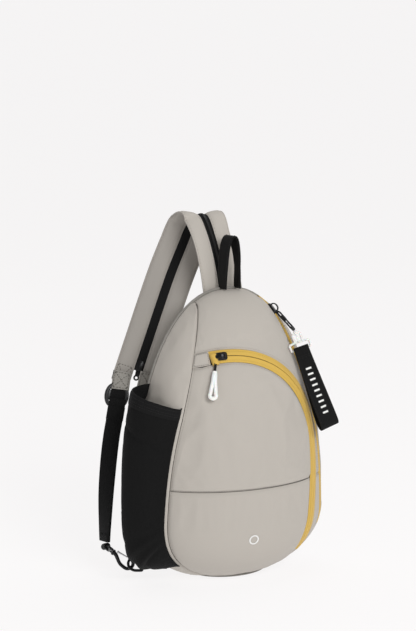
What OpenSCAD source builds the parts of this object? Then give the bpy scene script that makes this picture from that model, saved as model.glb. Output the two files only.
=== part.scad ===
// Convertible sling bag: egg-shaped body, arch pocket, side bottle pocket and a split zip-up strap.
// Frame: X to the right seen from the front, Y towards the wearer, Z up, origin on the floor
// under the widest part of the body. Millimetres.

/* [Body] */
// Half width of the back rim
half_w = 124; // [118:1:130]
// Height of the widest level
waist_z = 76; // [74:1:78]
// Rim height above the widest level
rim_up = 270; // [262:1:278]
// Rim drop below the widest level, before the base is pressed flat
rim_low = 82; // [80:1:84]
// Depth of the body in front of the rim
body_d = 93; // [88:1:98]
// Rim plane behind the origin
rim_y = 39; // [36:1:42]
// Height of the padded back behind the rim
back_dome = 9; // [6:1:12]
// Shell fabric thickness
fabric_t = 1.6; // [1.2:0.1:2]
// Thickness of the base panel
base_t = 2; // [1.5:0.1:3]

/* [Zips] */
// Radius of the front pocket's arch zip
arch_r = 115; // [112:1:116]
// Half width of the arch zip, both tapes together
arch_half = 7.5; // [6:0.5:8]
// Half width of the main zip in the right-hand seam
main_half = 5.5; // [5:0.5:6]

/* [Bottle pocket] */
// How far the bottle pocket reaches to the left of the origin
pocket_x = 149; // [143:1:152]
// Fabric thickness of the bottle pocket
pocket_t = 1.4; // [1:0.1:2]
// Height of the pocket's elastic hem
hem_h = 11; // [8:1:14]

/* [Strap] */
// Width of one strap half
half_strap_w = 24; // [22:1:26]
// Thickness of the padded strap
strap_t = 6; // [5:0.5:7]
// Width of the strap's zip band
strap_zip_w = 8; // [7:0.5:9]
// Webbing width
web_w = 20; // [18:1:20]
// Webbing thickness
web_t = 1.8; // [1.5:0.1:2]

/* [Hardware] */
// Wire radius of the rings
ring_wire = 1.6; // [1.4:0.1:1.7]
// Wire radius of the snap hooks
hook_wire = 1.9; // [1.7:0.1:2]

/* [Hidden] */

taupe = [0.73, 0.70, 0.65];
yellow = [0.84, 0.70, 0.34];
black = [0.07, 0.07, 0.07];
white = [0.95, 0.95, 0.93];
grey = [0.35, 0.35, 0.36];
up_n = 2.2;                  // roundness of the rim above the widest level, 2 is an ellipse
seam_tau_max = 0.52;         // depth share of the side seams at the widest level
seam_top = 257;              // rim height at which the side seams reach the rim
row_z = 119;                 // height of the stitched seam across the front
gap = 0.3;                   // sewing gap between neighbouring panels
rest_z = base_t + 0.1;       // lowest level of the shell panels, just above the base panel
arch_cx = -29;               // centre of the arch zip's round stretch
arch_cz = 160;
arch_low_r = 600;            // radius of its lower stretch
arch_start = 108.4;          // angle at which the arch leaves the left seam
arch_len = arch_r * arch_start * PI / 180;
arch_end_z = 26;
arch_total = arch_len + arch_low_r * asin((arch_cz - arch_end_z) / arch_low_r) * PI / 180;
arch_row = arch_len + arch_low_r * asin((arch_cz - row_z) / arch_low_r) * PI / 180;

// ---------- body surface ----------
function n_of(dz) = dz >= 0 ? up_n : 2;
function b_of(dz) = dz >= 0 ? rim_up : rim_low;
function rim_share(x, z) = let (dz = z - waist_z, n = n_of(dz))
    pow(abs(x) / half_w, n) + pow(abs(dz) / b_of(dz), n);
function radial(x, z) = pow(rim_share(x, z), 1 / n_of(z - waist_z));
// Point of the front surface above (x, z)
function front_pt(q) = [q[0], rim_y - body_d * sqrt(max(0, 1 - pow(radial(q[0], q[1]), 2))), q[1]];
// Distance of the rim from its centre in direction phi
function rim_r(phi) = let (s = sin(phi), n = n_of(s))
    pow(pow(abs(cos(phi)) / half_w, n) + pow(abs(s) / b_of(s), n), -1 / n);
// Point of the surface in direction phi at depth share tau: 0 is the rim, 1 the foremost point
function shell_pt(phi, tau) = let (r = sqrt(1 - tau * tau) * rim_r(phi))
    [r * cos(phi), rim_y - body_d * tau, waist_z + r * sin(phi)];
function normal_at(p) =
    let (dz = p[2] - waist_z, n = n_of(dz), k = pow(max(rim_share(p[0], p[2]), 1e-9), 2 / n - 1),
        g = [k * pow(abs(p[0]) / half_w, n - 1) / half_w * sign(p[0]),
            (p[1] - rim_y) / (body_d * body_d),
            k * pow(abs(dz) / b_of(dz), n - 1) / b_of(dz) * sign(dz)])
    g / norm(g);
// Point moved off the surface, never below floor_z
function lift(p, off, floor_z = rest_z) = let (q = p + off * normal_at(p))
    [q[0], q[1], max(q[2], floor_z)];
function mirror_x(p) = [-p[0], p[1], p[2]];

// ---------- seams ----------
function side_tau(phi, extra) = let (h = rim_r(phi) * sin(phi))
    h < 0 ? seam_tau_max * (1 - 0.5 * pow(h / rim_low, 2))
          : (seam_tau_max + extra * unit(h / 150)) * sqrt(1 - pow(min(h / seam_top, 1), 8));
function seam_tau(phi) = side_tau(phi, 0.05);
// Depth share covered by a width w across the seam
function tau_of(w) = w / 118;
// The right-hand seam opens into the main zip between these directions
zip_hi = 85;
zip_lo = -14;
function unit(t) = min(1, max(0, t));
function zip_open(phi) = gap + (main_half - gap) * unit((zip_hi - phi) / 2) * unit((phi - zip_lo) / 4);
// The zipped seam keeps off the rim until just past the zip's upper end
function zip_tau(phi) = max(side_tau(phi, 0), 0.075 * unit((89 - phi) / 5));
function seam_pt(phi, w = 0) = shell_pt(phi, unit(seam_tau(phi) + tau_of(w)));
function zip_pt(phi, w = 0) = shell_pt(phi, unit(zip_tau(phi) + tau_of(w)));
function flat(p) = [p[0], p[2]];
function left_edge(phi) = flat(mirror_x(seam_pt(phi, gap)));
function right_edge(phi) = flat(zip_pt(phi, zip_open(phi)));
// Direction at which an edge function reaches height z
function phi_for(z, lo = -85, hi = 85, n = 24) = let (m = (lo + hi) / 2)
    n == 0 ? m : left_edge(m)[1] < z ? phi_for(z, m, hi, n - 1) : phi_for(z, lo, m, n - 1);
function phi_for_right(z, lo = -85, hi = 85, n = 24) = let (m = (lo + hi) / 2)
    n == 0 ? m : right_edge(m)[1] < z ? phi_for_right(z, m, hi, n - 1) : phi_for_right(z, lo, m, n - 1);
// Arch zip's centre line by length u from the left seam, moved outwards by off
function arch(u, off = 0) = u <= arch_len
    ? let (t = arch_start - u / arch_r * 180 / PI)
        [arch_cx + (arch_r + off) * cos(t), arch_cz + (arch_r + off) * sin(t)]
    : let (t = (u - arch_len) / arch_low_r * 180 / PI)
        [arch_cx + arch_r - arch_low_r + (arch_low_r + off) * cos(t), arch_cz - (arch_low_r + off) * sin(t)];
function arch_x(z, off) = arch_cx + arch_r - arch_low_r
    + sqrt(pow(arch_low_r + off, 2) - pow(arch_cz - z, 2));

// ---------- solids from grids ----------
function mix(a, b, t) = a + (b - a) * t;
function join(lists) = [for (l = lists) each l];
function steps(n) = [for (i = [0 : n]) i / n];
// Closed slab between two grids of points with equal rows and columns
module slab(top, bottom) {
    m = len(top);
    n = len(top[0]);
    far = m * n;
    edge = concat([for (j = [0 : n - 1]) j], [for (i = [1 : m - 1]) i * n + n - 1],
        [for (j = [n - 2 : -1 : 0]) (m - 1) * n + j], [for (i = [m - 2 : -1 : 1]) i * n]);
    faces = concat(
        join([for (i = [0 : m - 2], j = [0 : n - 2]) let (a = i * n + j)
            [[a, a + 1, a + n + 1], [a, a + n + 1, a + n],
             [a + far, a + n + 1 + far, a + 1 + far], [a + far, a + n + far, a + n + 1 + far]]]),
        join([for (k = [0 : len(edge) - 1]) let (p = edge[k], q = edge[(k + 1) % len(edge)])
            [[q, p, p + far], [q, p + far, q + far]]]));
    polyhedron(points = concat(join(top), join(bottom)), faces = faces, convexity = 8);
}
// Closed cup: rings from the rim to the pole, outer and inner, each ring a closed loop
module cup(outer, inner, outer_pole, inner_pole) {
    m = len(outer);
    n = len(outer[0]);
    far = m * n;
    pole = 2 * far;
    faces = concat(
        join([for (i = [0 : m - 2], j = [0 : n - 1]) let (a = i * n + j, b = i * n + (j + 1) % n)
            [[a, b, b + n], [a, b + n, a + n],
                [a + far, b + n + far, b + far], [a + far, a + n + far, b + n + far]]]),
        join([for (j = [0 : n - 1]) let (a = j, b = (j + 1) % n, c = (m - 1) * n + a, d = (m - 1) * n + b)
            [[b, a, a + far], [b, a + far, b + far], [c, d, pole], [d + far, c + far, pole + 1]]]));
    polyhedron(points = concat(join(outer), join(inner), [outer_pole, inner_pole]), faces = faces,
        convexity = 8);
}
// Closed bar through rings of points
module loft(rings) {
    m = len(rings);
    n = len(rings[0]);
    faces = concat([[for (j = [0 : n - 1]) j]], [[for (j = [n - 1 : -1 : 0]) (m - 1) * n + j]],
        join([for (i = [0 : m - 2], j = [0 : n - 1]) let (a = i * n + j, b = i * n + (j + 1) % n)
            [[b, a, a + n], [b, a + n, b + n]]]));
    polyhedron(points = join(rings), faces = faces, convexity = 8);
}
// A panel of the front surface over a grid of (x, z), between two offsets
module front_slab(grid, off_top, off_low) {
    pts = [for (row = grid) [for (q = row) front_pt(q)]];
    slab([for (row = pts) [for (p = row) lift(p, off_top)]],
        [for (row = pts) [for (p = row) lift(p, off_low, rest_z + off_top - off_low)]]);
}
// A panel given by points of the surface, between two offsets
module shell_slab(pts, off_top, off_low) {
    slab([for (row = pts) [for (p = row) lift(p, off_top)]],
        [for (row = pts) [for (p = row) lift(p, off_low, rest_z + off_top - off_low)]]);
}

// ---------- local frames ----------
function dir(v) = v / norm(v);
module place(p, x, z) {
    ez = dir(z);
    ex = dir(x - (x * ez) * ez);
    ey = cross(ez, ex);
    multmatrix([[ex[0], ey[0], ez[0], p[0]], [ex[1], ey[1], ez[1], p[1]], [ex[2], ey[2], ez[2], p[2]]])
        children();
}

// ---------- body panels ----------
function phi_row() = phi_for(row_z);
module base_panel() color(grey) {
    // Half ellipse in front of the rim plane, straight edge behind it
    reach = sqrt(1 - pow((waist_z - rest_z) / rim_low, 2));
    linear_extrude(base_t) polygon(concat(
        [for (a = [0 : 10 : 180]) [half_w * reach * 0.96 * cos(a), rim_y - body_d * reach * 1.06 * sin(a)]],
        [[-half_w * reach * 0.9, rim_y + 5], [half_w * reach * 0.9, rim_y + 5]]));
}
// Outer edge of the top panel: up the left seam, over the rim and down the main zip
function top_edge(s, lo) = s < 0.25
    ? left_edge(mix(lo, 90, s * 4)) : right_edge(mix(90, phi_for_right(row_z), (s - 0.25) / 0.75));
// Directions shared by the top panel, the gusset and the main zip, so that their edges run side by side
function zip_row(k) = mix(90, phi_for_right(row_z), k / 54);
zip_rows = concat([for (k = [7 : 54]) zip_row(k)], [for (i = [1 : 8]) mix(zip_row(54), zip_lo + 5, i / 8)]);
module front_top_panel() color(taupe) {
    lo = phi_for(arch(0, arch_half)[1]) + 1;
    front_slab([for (s = steps(72)) let (a = arch(mix(0, arch_row, s), arch_half), b = top_edge(s, lo),
        a2 = s == 0 ? [max(a[0], left_edge(lo - 1)[0]), a[1]] : a)
        [for (t = steps(8)) mix(a2, b, t)]], 0, -fabric_t);
}
module front_pocket_panel() color(taupe) {
    lo = phi_row();
    hi = phi_for(arch(0, -arch_half)[1]);
    left = left_edge(lo);
    top_left = left_edge(hi);
    right_x = arch(arch_row, -arch_half)[0];
    front_slab([for (s = steps(28)) let (u = mix(0, arch_row, s * 0.985), top = arch(u, -arch_half),
        foot = [mix(left[0], right_x, s * 0.985), row_z])
        [for (t = steps(14)) mix(foot, s == 0 ? top_left : top, t)
            + (1 - s) * (left_edge(mix(lo, hi, t)) - mix(left, top_left, t))]], 0, -fabric_t);
}
module lower_front_panel() color(taupe) {
    lo = phi_for(row_z - 2 * gap);
    front_slab([for (t = steps(16)) let (phi = mix(lo, -86, t), a = left_edge(phi),
        b = [min(arch_x(a[1], -arch_half), -a[0]), a[1]])
        [for (s = steps(22)) mix(a, b, s)]], 0, -fabric_t);
}
module lower_side_panel() color(taupe) {
    hi = phi_for_right(row_z - 2 * gap);
    front_slab([for (t = steps(10)) let (b = right_edge(mix(hi, -14, t)), a = [arch_x(b[1], arch_half), b[1]])
        [for (s = steps(3)) mix(a, b, s)]], 0, -fabric_t);
}
// Side panel from the rim to the seam; side is 1 for the right, -1 for the left
module gusset(side) {
    rows = side > 0
        ? concat([for (i = steps(8)) mix(-89, -15, i)], [-14, -12, -10.5],
            [for (k = [len(zip_rows) - 1 : -1 : 0]) zip_rows[k]], [for (k = [6 : -1 : 2]) zip_row(k)])
        : [for (i = steps(30)) mix(-89, 80.2, i)];
    shell_slab([for (phi = rows) let (
        end = side > 0 ? zip_tau(phi) - tau_of(zip_open(phi)) : seam_tau(phi) - tau_of(gap))
        [for (j = steps(7)) let (p = shell_pt(phi, max(end, 0.008) * j)) side > 0 ? p : mirror_x(p)]],
        0, -fabric_t);
}
module left_gusset() color(taupe) gusset(-1);
module right_gusset() color(taupe) gusset(1);

// Ring of the padded back at radius share r: full thickness in the middle, thin at the rim
function back_pt(phi, r, inset) = let (q = rim_r(phi) * r)
    [q * cos(phi), rim_y + gap + 1 + (back_dome - inset) * pow(1 - pow(r, 5), 0.5),
        max(rest_z + inset, waist_z + q * sin(phi))];
back_rings = [1, 0.985, 0.95, 0.88, 0.75, 0.5, 0.25];
module back_panel() color(taupe)
    cup([for (r = back_rings) [for (j = [0 : 39]) back_pt(j * 9, r, 0)]],
        [for (r = back_rings) [for (j = [0 : 39]) back_pt(j * 9, r * 0.985, fabric_t)]
            - [for (j = [0 : 39]) [0, r > 0.99 ? 1 : 0, 0]]],
        [0, rim_y + gap + 1 + back_dome, waist_z], [0, rim_y + gap + 1 + back_dome - fabric_t, waist_z]);
module back_foam() color(grey) {
    inset = fabric_t + 2 * gap;
    front = [for (r = [0.96, 0.9, 0.8, 0.5, 0.2]) [for (j = [0 : 39]) back_pt(j * 9, r, inset)]];
    foot = [for (j = [0 : 39]) let (p = back_pt(j * 9, 0.95, inset)) [p[0], rim_y + gap, p[2]]];
    loft(concat([foot], front));
}
module back_lining() color(grey) translate([0, rim_y - 0.2, 0]) rotate([90, 0, 0]) linear_extrude(0.8)
    polygon([for (j = [0 : 39]) let (q = rim_r(j * 9) * 0.95) [q * cos(j * 9),
        max(rest_z + 5, waist_z + q * sin(j * 9))]]);
module front_lining() color(grey) {
    taus = [0.03, 0.15, 0.3, 0.5, 0.7, 0.85, 0.95, 0.99];
    pole = front_pt([0, waist_z]);
    cup([for (t = taus) [for (j = [0 : 35]) lift(shell_pt(j * 10, t), -4.8, rest_z + 4.8)]],
        [for (t = taus) [for (j = [0 : 35]) lift(shell_pt(j * 10, t), -5.6, rest_z + 5.6)]],
        pole + [0, 4.8, 0], pole + [0, 5.6, 0]);
}
module pocket_lining() color(grey) {
    lo = phi_for(row_z + 6);
    hi = phi_for(arch(0, -arch_half)[1] - 8);
    front_slab([for (s = steps(16)) let (u = mix(12, arch_row - 8, s), top = arch(u, -arch_half),
        foot = [mix(left_edge(lo)[0] + 6, arch(arch_row, -arch_half)[0] - 4, s), row_z + 6])
        [for (t = steps(8)) mix(foot, top, t)]], -3.5, -4.3);
}

// ---------- zips ----------
module arch_band(off_a, off_b, top, low, from = 15, to = arch_total)
    front_slab([for (s = steps(44)) [for (t = steps(2)) arch(mix(from, to, s), mix(off_a, off_b, t))]],
        top, low);
module arch_zip_upper_tape() color(yellow) arch_band(0.25, arch_half - gap, 0.1, -0.9);
module arch_zip_lower_tape() color(yellow) arch_band(gap - arch_half, -0.25, 0.1, -0.9);
module arch_zip_coil() color(yellow) arch_band(-1.8, 1.8, -1.1, -2.6);
module zip_end_patch() color(taupe) front_slab([for (s = steps(4))
    [for (t = steps(4)) arch(mix(4, 14.4, s), mix(3 * gap - arch_half, arch_half - 3 * gap, t))]], 0.3, -1.1);
module zip_garage() color(yellow) front_slab([for (s = steps(4))
    [for (t = steps(4)) arch(mix(14.8, 20.4, s), mix(-arch_half - 1, 2.5, t))]], 1.6, 0.35);
// A band along the main zip between two widths across the seam
module main_band(w_a, w_b, top, low) shell_slab([for (phi = zip_rows)
    [for (t = steps(2)) zip_pt(phi, mix(w_a, w_b, t))]], top, low);
module main_zip_front_tape() color(yellow) main_band(0.25, main_half - gap, 0.1, -0.9);
module main_zip_rear_tape() color(yellow) main_band(gap - main_half, -0.25, 0.1, -0.9);
module main_zip_coil() color(yellow) main_band(-1.8, 1.8, -1.1, -2.6);

// Zip slider: a rounded body on two rails with a bridge for the puller, travelling along +x
slider_l = 12;
slider_w = 8;
module slider_body() {
    translate([-slider_l / 2, -slider_w / 2, 0]) cube([slider_l, slider_w, 1.6]);
    difference() {
        translate([0, slider_w / 4, 1.5]) rotate([90, 0, 0]) cylinder(r = 4.2, h = slider_w / 2, $fn = 48);
        translate([0, slider_w / 2, 1.5]) rotate([90, 0, 0]) cylinder(r = 2.5, h = slider_w, $fn = 48);
        translate([-slider_l / 2, -slider_w / 2, -4]) cube([slider_l, slider_w, 4.8]);
    }
}
// Arch zip slider, its puller and the loop on it
arch_slider_u = 27;
arch_slider_p = front_pt(arch(arch_slider_u));
arch_slider_n = normal_at(arch_slider_p);
arch_slider_x = front_pt(arch(arch_slider_u + 3)) - front_pt(arch(arch_slider_u - 3));
arch_pivot = arch_slider_p + 3.4 * arch_slider_n - 6.5 * dir(arch_slider_x);
pull_foot = front_pt([arch(arch_slider_u)[0] - 18, arch(arch_slider_u)[1] - 52]);
pull_dir = dir(pull_foot + 4.2 * normal_at(pull_foot) - arch_pivot);
module at_arch_slider() place(arch_slider_p + 0.5 * arch_slider_n, arch_slider_x, arch_slider_n) children();
module at_arch_pull() place(arch_pivot, pull_dir, arch_slider_n) children();
module arch_slider() color(black) at_arch_slider() slider_body();
module arch_pull_cord() color(black) at_arch_pull() {
    rotate([90, 0, 0]) cylinder(r = 1, h = 3.4, center = true, $fn = 32);
    translate([0.5, 0, 0]) rotate([0, 90, 0]) cylinder(r = 1.3, h = 17, $fn = 24);
}
module arch_pull_loop() color(white) at_arch_pull() translate([17.6, 0, -1.3]) linear_extrude(2.6)
    difference() {
        hull() { translate([29, 0]) circle(r = 6, $fn = 40); translate([2.3, 0]) circle(r = 2.3, $fn = 24); }
        hull() { translate([29, 0]) circle(r = 2.8, $fn = 32); translate([15, 0]) circle(r = 1, $fn = 20); }
    }

// Main zip slider, cord, swivel clip and fob
main_slider_phi = 78;
main_slider_p = zip_pt(main_slider_phi);
main_slider_n = normal_at(main_slider_p);
main_slider_x = zip_pt(main_slider_phi - 1) - zip_pt(main_slider_phi + 1);
hang_yaw = -28.6;            // the fob hangs in an upright plane turned by this much
hang_n = [sin(hang_yaw), -cos(hang_yaw), 0];
hang_side = [cos(hang_yaw), sin(hang_yaw), 0];
main_pivot = main_slider_p + 3.6 * main_slider_n + 8.2 * dir(main_slider_x);
hang_out = 0.8;              // lean of the cord away from the body
cord_dir = dir(0.6 * hang_side + hang_out * hang_n - [0, 0, 0.74]);
cord_len = 34;
clip_p = main_pivot + cord_len * cord_dir;
clip_dir = dir(0.37 * hang_side + 0.08 * hang_n - [0, 0, 0.93]);
fob_len = 96;
fob_w = 20;
clip_half = fob_w / 2 + 2;
module main_slider() color(black)
    place(main_slider_p + 0.5 * main_slider_n, main_slider_x, main_slider_n) slider_body();
module main_pull_cord() color(black) place(main_pivot, cord_dir, hang_n) {
    rotate([90, 0, 0]) cylinder(r = 1, h = 3.4, center = true, $fn = 32);
    for (side = [-1, 1]) translate([0.5, side * 1.3, 0]) rotate([0, 90, 0])
        cylinder(r = 1, h = cord_len - 2.5, $fn = 20);
    translate([cord_len - 2.5, 0, 0]) rotate([0, 90, 0]) cylinder(r = 2.5, h = 1.5, $fn = 24);
}
module clip_body() color(white) place(clip_p, clip_dir, hang_n) {
    translate([0.6, 0, 0]) rotate([0, 90, 0]) cylinder(r = 2.6, h = 4.4, $fn = 32);
    for (side = [-1, 1]) translate([4, side * 4.6, 0]) rotate([0, 90, 0]) cylinder(r = 1.4, h = 11, $fn = 24);
    translate([4, 0, 0]) rotate([90, 0, 0]) cylinder(r = 1.4, h = 9.2, center = true, $fn = 24);
    for (x = [15, 23]) translate([x, 0, 0]) rotate([90, 0, 0])
        cylinder(r = 1.4, h = 2 * clip_half, center = true, $fn = 24);
    for (side = [-1, 1]) translate([15, side * clip_half, 0]) rotate([0, 90, 0])
        cylinder(r = 1.4, h = 8, $fn = 24);
}
module clip_lever() color(white) place(clip_p, clip_dir, hang_n)
    translate([6.2, -0.9, 1.9]) cube([8, 1.8, 1.4]);
// Flat ribbon folded around the clip's lower bar and open at its lower fold
module fob_strap() color(black) place(clip_p, clip_dir, hang_n) translate([23, 0, 0]) rotate([90, 0, 0])
    linear_extrude(fob_w, center = true) ribbon_loop();
module ribbon_loop() difference() {
    hull() { circle(r = 3.4, $fn = 32); translate([fob_len, 0]) circle(r = 4.6, $fn = 40); }
    hull() { circle(r = 1.75, $fn = 32); translate([fob_len, 0]) circle(r = 3, $fn = 40); }
}

// ---------- bottle pocket ----------
pocket_top_front = phi_for(214);
pocket_top_back = 57.6;
pocket_low = -34;
// Bulge away from the gusset: share 0 at both sewn edges, most near the rim
function bulge(phi, v, h) = let (w = sin(180 * pow(v, 0.6)), reach = pocket_x - rim_r(phi) * cos(phi))
    reach * pow(max(w, 0), 0.8) * (1 - 0.3 * pow(h, 6)) * (1 - pow(1 - h, 7));
function pocket_pt(v, h, off) = let (top = mix(pocket_top_back, pocket_top_front, pow(v, 1.5)),
    phi = mix(pocket_low, top, h), tau = mix(0.02, seam_tau(phi) - 0.02, v), p = shell_pt(phi, tau),
    n = normal_at(p), b = 0.4 + bulge(phi, v, h), q = p + (b + off) * dir([n[0], n[1] * 0.6, n[2] * 0.3]))
    mirror_x([q[0], q[1], max(q[2], rest_z)]);
module pocket_slab(h_lo, h_hi, rows, off_in, off_out) {
    slab([for (i = steps(rows)) [for (v = steps(20)) pocket_pt(v, mix(h_lo, h_hi, i), off_out)]],
        [for (i = steps(rows)) [for (v = steps(20)) pocket_pt(v, mix(h_lo, h_hi, i), off_in)]]);
}
hem_share = 1 - hem_h / 320;
module bottle_pocket() color(black) pocket_slab(0, hem_share - 0.002, 18, 0, pocket_t);
module pocket_hem() color(black) pocket_slab(hem_share, 1, 2, -0.3, pocket_t + 0.9);

// ---------- strap ----------
// Centre line of the strap from its root to its lower end, and the heading of its width
strap_route = [[2.2, 50.6, 339], [-3, 52, 372], [-9, 60, 408], [-12, 77, 431], [-18, 94, 418],
    [-28, 101, 390], [-42, 103, 357], [-58, 101.5, 319], [-74, 99, 281], [-90, 96.5, 243], [-97, 95.4, 226]];
strap_yaw = [6, 8, 8, -6, -20, -26, -28, -28.6, -28.6, -28.6, -28.6];
function spline(list, i, t) = let (n = len(list) - 1, a = list[max(i - 1, 0)], b = list[i],
    c = list[min(i + 1, n)], d = list[min(i + 2, n)])
    0.5 * (2 * b + (c - a) * t + (2 * a - 5 * b + 4 * c - d) * t * t + (3 * b - a - 3 * c + d) * t * t * t);
function along(list, u) = let (n = len(list) - 1, i = min(floor(u), n - 1)) spline(list, i, u - i);
// Frame of a route at parameter u: point, tangent, width direction and face normal
function route_frame(route, yaws, u) =
    let (e = 0.02, n = len(route) - 1, p = along(route, u),
        t = dir(along(route, min(u + e, n)) - along(route, max(u - e, 0))),
        y = along(yaws, u), w0 = [cos(y), sin(y), 0], w = dir(w0 - (w0 * t) * t))
    [p, t, w, cross(w, t)];
// Bar of rectangular or rounded section that follows a route between two widths
module ribbon(route, yaws, w_lo, w_hi, n_lo, n_hi, from, to, count, round_edge = 0)
    loft([for (s = steps(count)) let (f = route_frame(route, yaws, mix(from, to, s)), c = round_edge)
        [for (q = c > 0
            ? [[w_lo, n_lo + c], [w_lo + c, n_lo], [w_hi - c, n_lo], [w_hi, n_lo + c],
               [w_hi, n_hi - c], [w_hi - c, n_hi], [w_lo + c, n_hi], [w_lo, n_hi - c]]
            : [[w_lo, n_lo], [w_hi, n_lo], [w_hi, n_hi], [w_lo, n_hi]])
            f[0] + q[0] * f[2] + q[1] * f[3]]]);
strap_end = len(strap_route) - 1;
strap_in = strap_zip_w / 2 + gap;
strap_out = strap_in + half_strap_w;
module strap_half(side) ribbon(strap_route, strap_yaw, side < 0 ? -strap_out : strap_in,
    side < 0 ? -strap_in : strap_out, -strap_t / 2, strap_t / 2, 0, strap_end, 60, 1.6);
module strap_left_half() color(taupe) strap_half(-1);
module strap_right_half() color(taupe) strap_half(1);
module strap_zip_tape() color(black) ribbon(strap_route, strap_yaw, -strap_zip_w / 2, strap_zip_w / 2,
    -0.5, 0.5, 0, strap_end - 1, 54);
module strap_zip_coil() color(black)
    ribbon(strap_route, strap_yaw, -1.6, 1.6, 0.7, 2, 0, strap_end - 1.05, 54);
function back_y(x, z) = rim_y + gap + 1 + back_dome * sqrt(max(0, 1 - pow(radial(x, z), 5)));
function anchor_grid(off) = [for (s = steps(8)) [for (t = steps(4))
    let (x = mix(-27, 33, s), z = mix(312, 333.4, t)) [x, back_y(x, z) + off, z]]];
module strap_anchor() color(taupe) slab(anchor_grid(2.2), anchor_grid(0.3));

// Slider of the strap's zip, near its lower end, and its puller
strap_slider_u = strap_end - 1.2;
function strap_frame(u) = route_frame(strap_route, strap_yaw, u);
strap_slider_f = strap_frame(strap_slider_u);
module strap_zip_slider() color(black)
    place(strap_slider_f[0] + 2.5 * strap_slider_f[3], strap_slider_f[1], strap_slider_f[3]) slider_body();
module strap_zip_pull() color(black)
    place(strap_slider_f[0] + 5.2 * strap_slider_f[3], strap_slider_f[1], strap_slider_f[3]) {
        rotate([90, 0, 0]) cylinder(r = 1, h = 7, center = true, $fn = 32);
        for (side = [-1, 1]) translate([-1, side * 3 - 0.6, -0.7]) cube([6.6, 1.2, 1.4]);
        difference() {
            translate([5, -3.6, -0.7]) cube([13, 7.2, 1.4]);
            translate([15, 0, -2]) cylinder(r = 1.5, h = 4, $fn = 32);
        }
    }

// ---------- lower webbing ----------
left_route = [[-113, 98, 231], [-117, 96, 215], [-121.3, 93.8, 199], [-125.6, 91.6, 183], [-129.9, 89.4, 167],
    [-135, 86.5, 140], [-140, 83.5, 100], [-143, 80.5, 60], [-144, 79, 42]];
left_yaw = [-28.6, -28.6, -28.6, -28.6, -28.6, -38, -56, -76, -84];
right_route = [[-82, 90, 219], [-86, 89, 203], [-90, 88, 187], [-94, 87, 171], [-98, 86, 155], [-98, 84, 128],
    [-84, 80, 98], [-54, 75, 74], [-16, 69.5, 56], [17.5, 64.8, 47.5]];
right_yaw = [-28.6, -28.6, -28.6, -28.6, -28.6, -26, -20, -14, -10.5, -10.5];
module webbing(route, yaws) {
    last = len(route) - 1;
    ribbon(route, yaws, -web_w / 2, web_w / 2, -web_t / 2, web_t / 2, 0, last, 44);
    ribbon(route, yaws, -web_w / 2, web_w / 2, -web_t / 2 - web_t - 0.2, -web_t / 2 - 0.2, 1.2, last, 40);
}
module left_webbing() color(black) webbing(left_route, left_yaw);
module right_webbing() color(black) webbing(right_route, right_yaw);

// Tri-glide buckle: a frame around both layers, free to slide along the straight stretch
buckle_l = 22;
buckle_w = 33;
module buckle(route, yaws, u) {
    f = route_frame(route, yaws, u);
    place(f[0] - (web_t / 2 + 0.1) * f[3], f[1], f[3]) difference() {
        translate([-buckle_l / 2, -buckle_w / 2, -4.6]) cube([buckle_l, buckle_w, 9.2]);
        translate([-buckle_l / 2 - 1, -web_w / 2 - 1, -2.8]) cube([buckle_l + 2, web_w + 2, 5.6]);
        for (x = [-1, 1]) translate([x * 5 - 2.6, -web_w / 2 + 1, -6]) cube([5.2, web_w - 2, 12]);
    }
}
module left_buckle() color(black) buckle(left_route, left_yaw, 1);
module right_buckle() color(black) buckle(right_route, right_yaw, 1);

// ---------- snap hooks and rings ----------
// Ring: half width, straight leg, tilt of the left ring about its reach
ring_arc = 10;
ring_leg = 7;
ring_tilt = 40;
right_ring_p = [67, 53.2, 21];
// A hook assembly lies along +x from its eye, its gate on the +z side, its flat normal along y
eye_half = 11.6;
hook_bend_x = 34;
hook_bend_r = 6.5;
loop_in = ring_wire + 0.5;
loop_out = loop_in + web_t + 0.2;
module wire(a, b, r) { d = b - a; translate(a) rotate([0, acos(d[2] / norm(d)), atan2(d[1], d[0])])
    cylinder(r = r, h = norm(d), $fn = 40); }
module web_loop() rotate([90, 0, 0]) difference() {
    cylinder(r = loop_out, h = web_w, center = true, $fn = 64);
    cylinder(r = loop_in, h = web_w + 2, center = true, $fn = 64);
}
module hook_eye() {
    wire([0, -eye_half, 0], [0, eye_half, 0], ring_wire);
    wire([7.5, -eye_half, 0], [7.5, eye_half, 0], ring_wire);
    for (side = [-1, 1]) wire([0, side * eye_half, 0], [7.5, side * eye_half, 0], ring_wire);
    for (side = [-1, 1], x = [0, 7.5]) translate([x, side * eye_half, 0]) sphere(r = ring_wire, $fn = 40);
    wire([7, 0, 0], [10, 0, 0], 2.4);
}
// Stations of the hook bar: x, z and radius, with the round bend worked out as an arc
hook_path = concat([[10.4, 0, 3.2], [10.8, 0, 3.6], [12.8, 0, 3.6], [13.2, 0, 3.2], [13.8, 0, 2.4],
    [16.5, -0.7, 2.2], [20, -2.6, hook_wire], [24, -4.9, hook_wire], [27.5, -6.2, hook_wire],
    [30.5, -hook_bend_r, hook_wire]],
    [for (a = [-90 : 15 : 90]) [hook_bend_x + hook_bend_r * cos(a), hook_bend_r * sin(a), hook_wire]],
    [[hook_bend_x - 3.2, hook_bend_r, hook_wire], [hook_bend_x - 3.9, hook_bend_r, 1.2]]);
module hook_body() loft([for (i = [0 : len(hook_path) - 1])
    let (n = len(hook_path) - 1, q = hook_path[i], d = hook_path[min(i + 1, n)] - hook_path[max(i - 1, 0)],
        t = dir([d[0], 0, d[1]]), up = [-t[2], 0, t[0]])
    [for (a = [0 : 30 : 330]) [q[0], 0, q[1]] + q[2] * (cos(a) * up + [0, sin(a), 0])]]);
gate_pivot = [16, 0, 4.1];
gate_tip = [hook_bend_x - 4.4, 0, hook_bend_r - 0.4];
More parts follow.
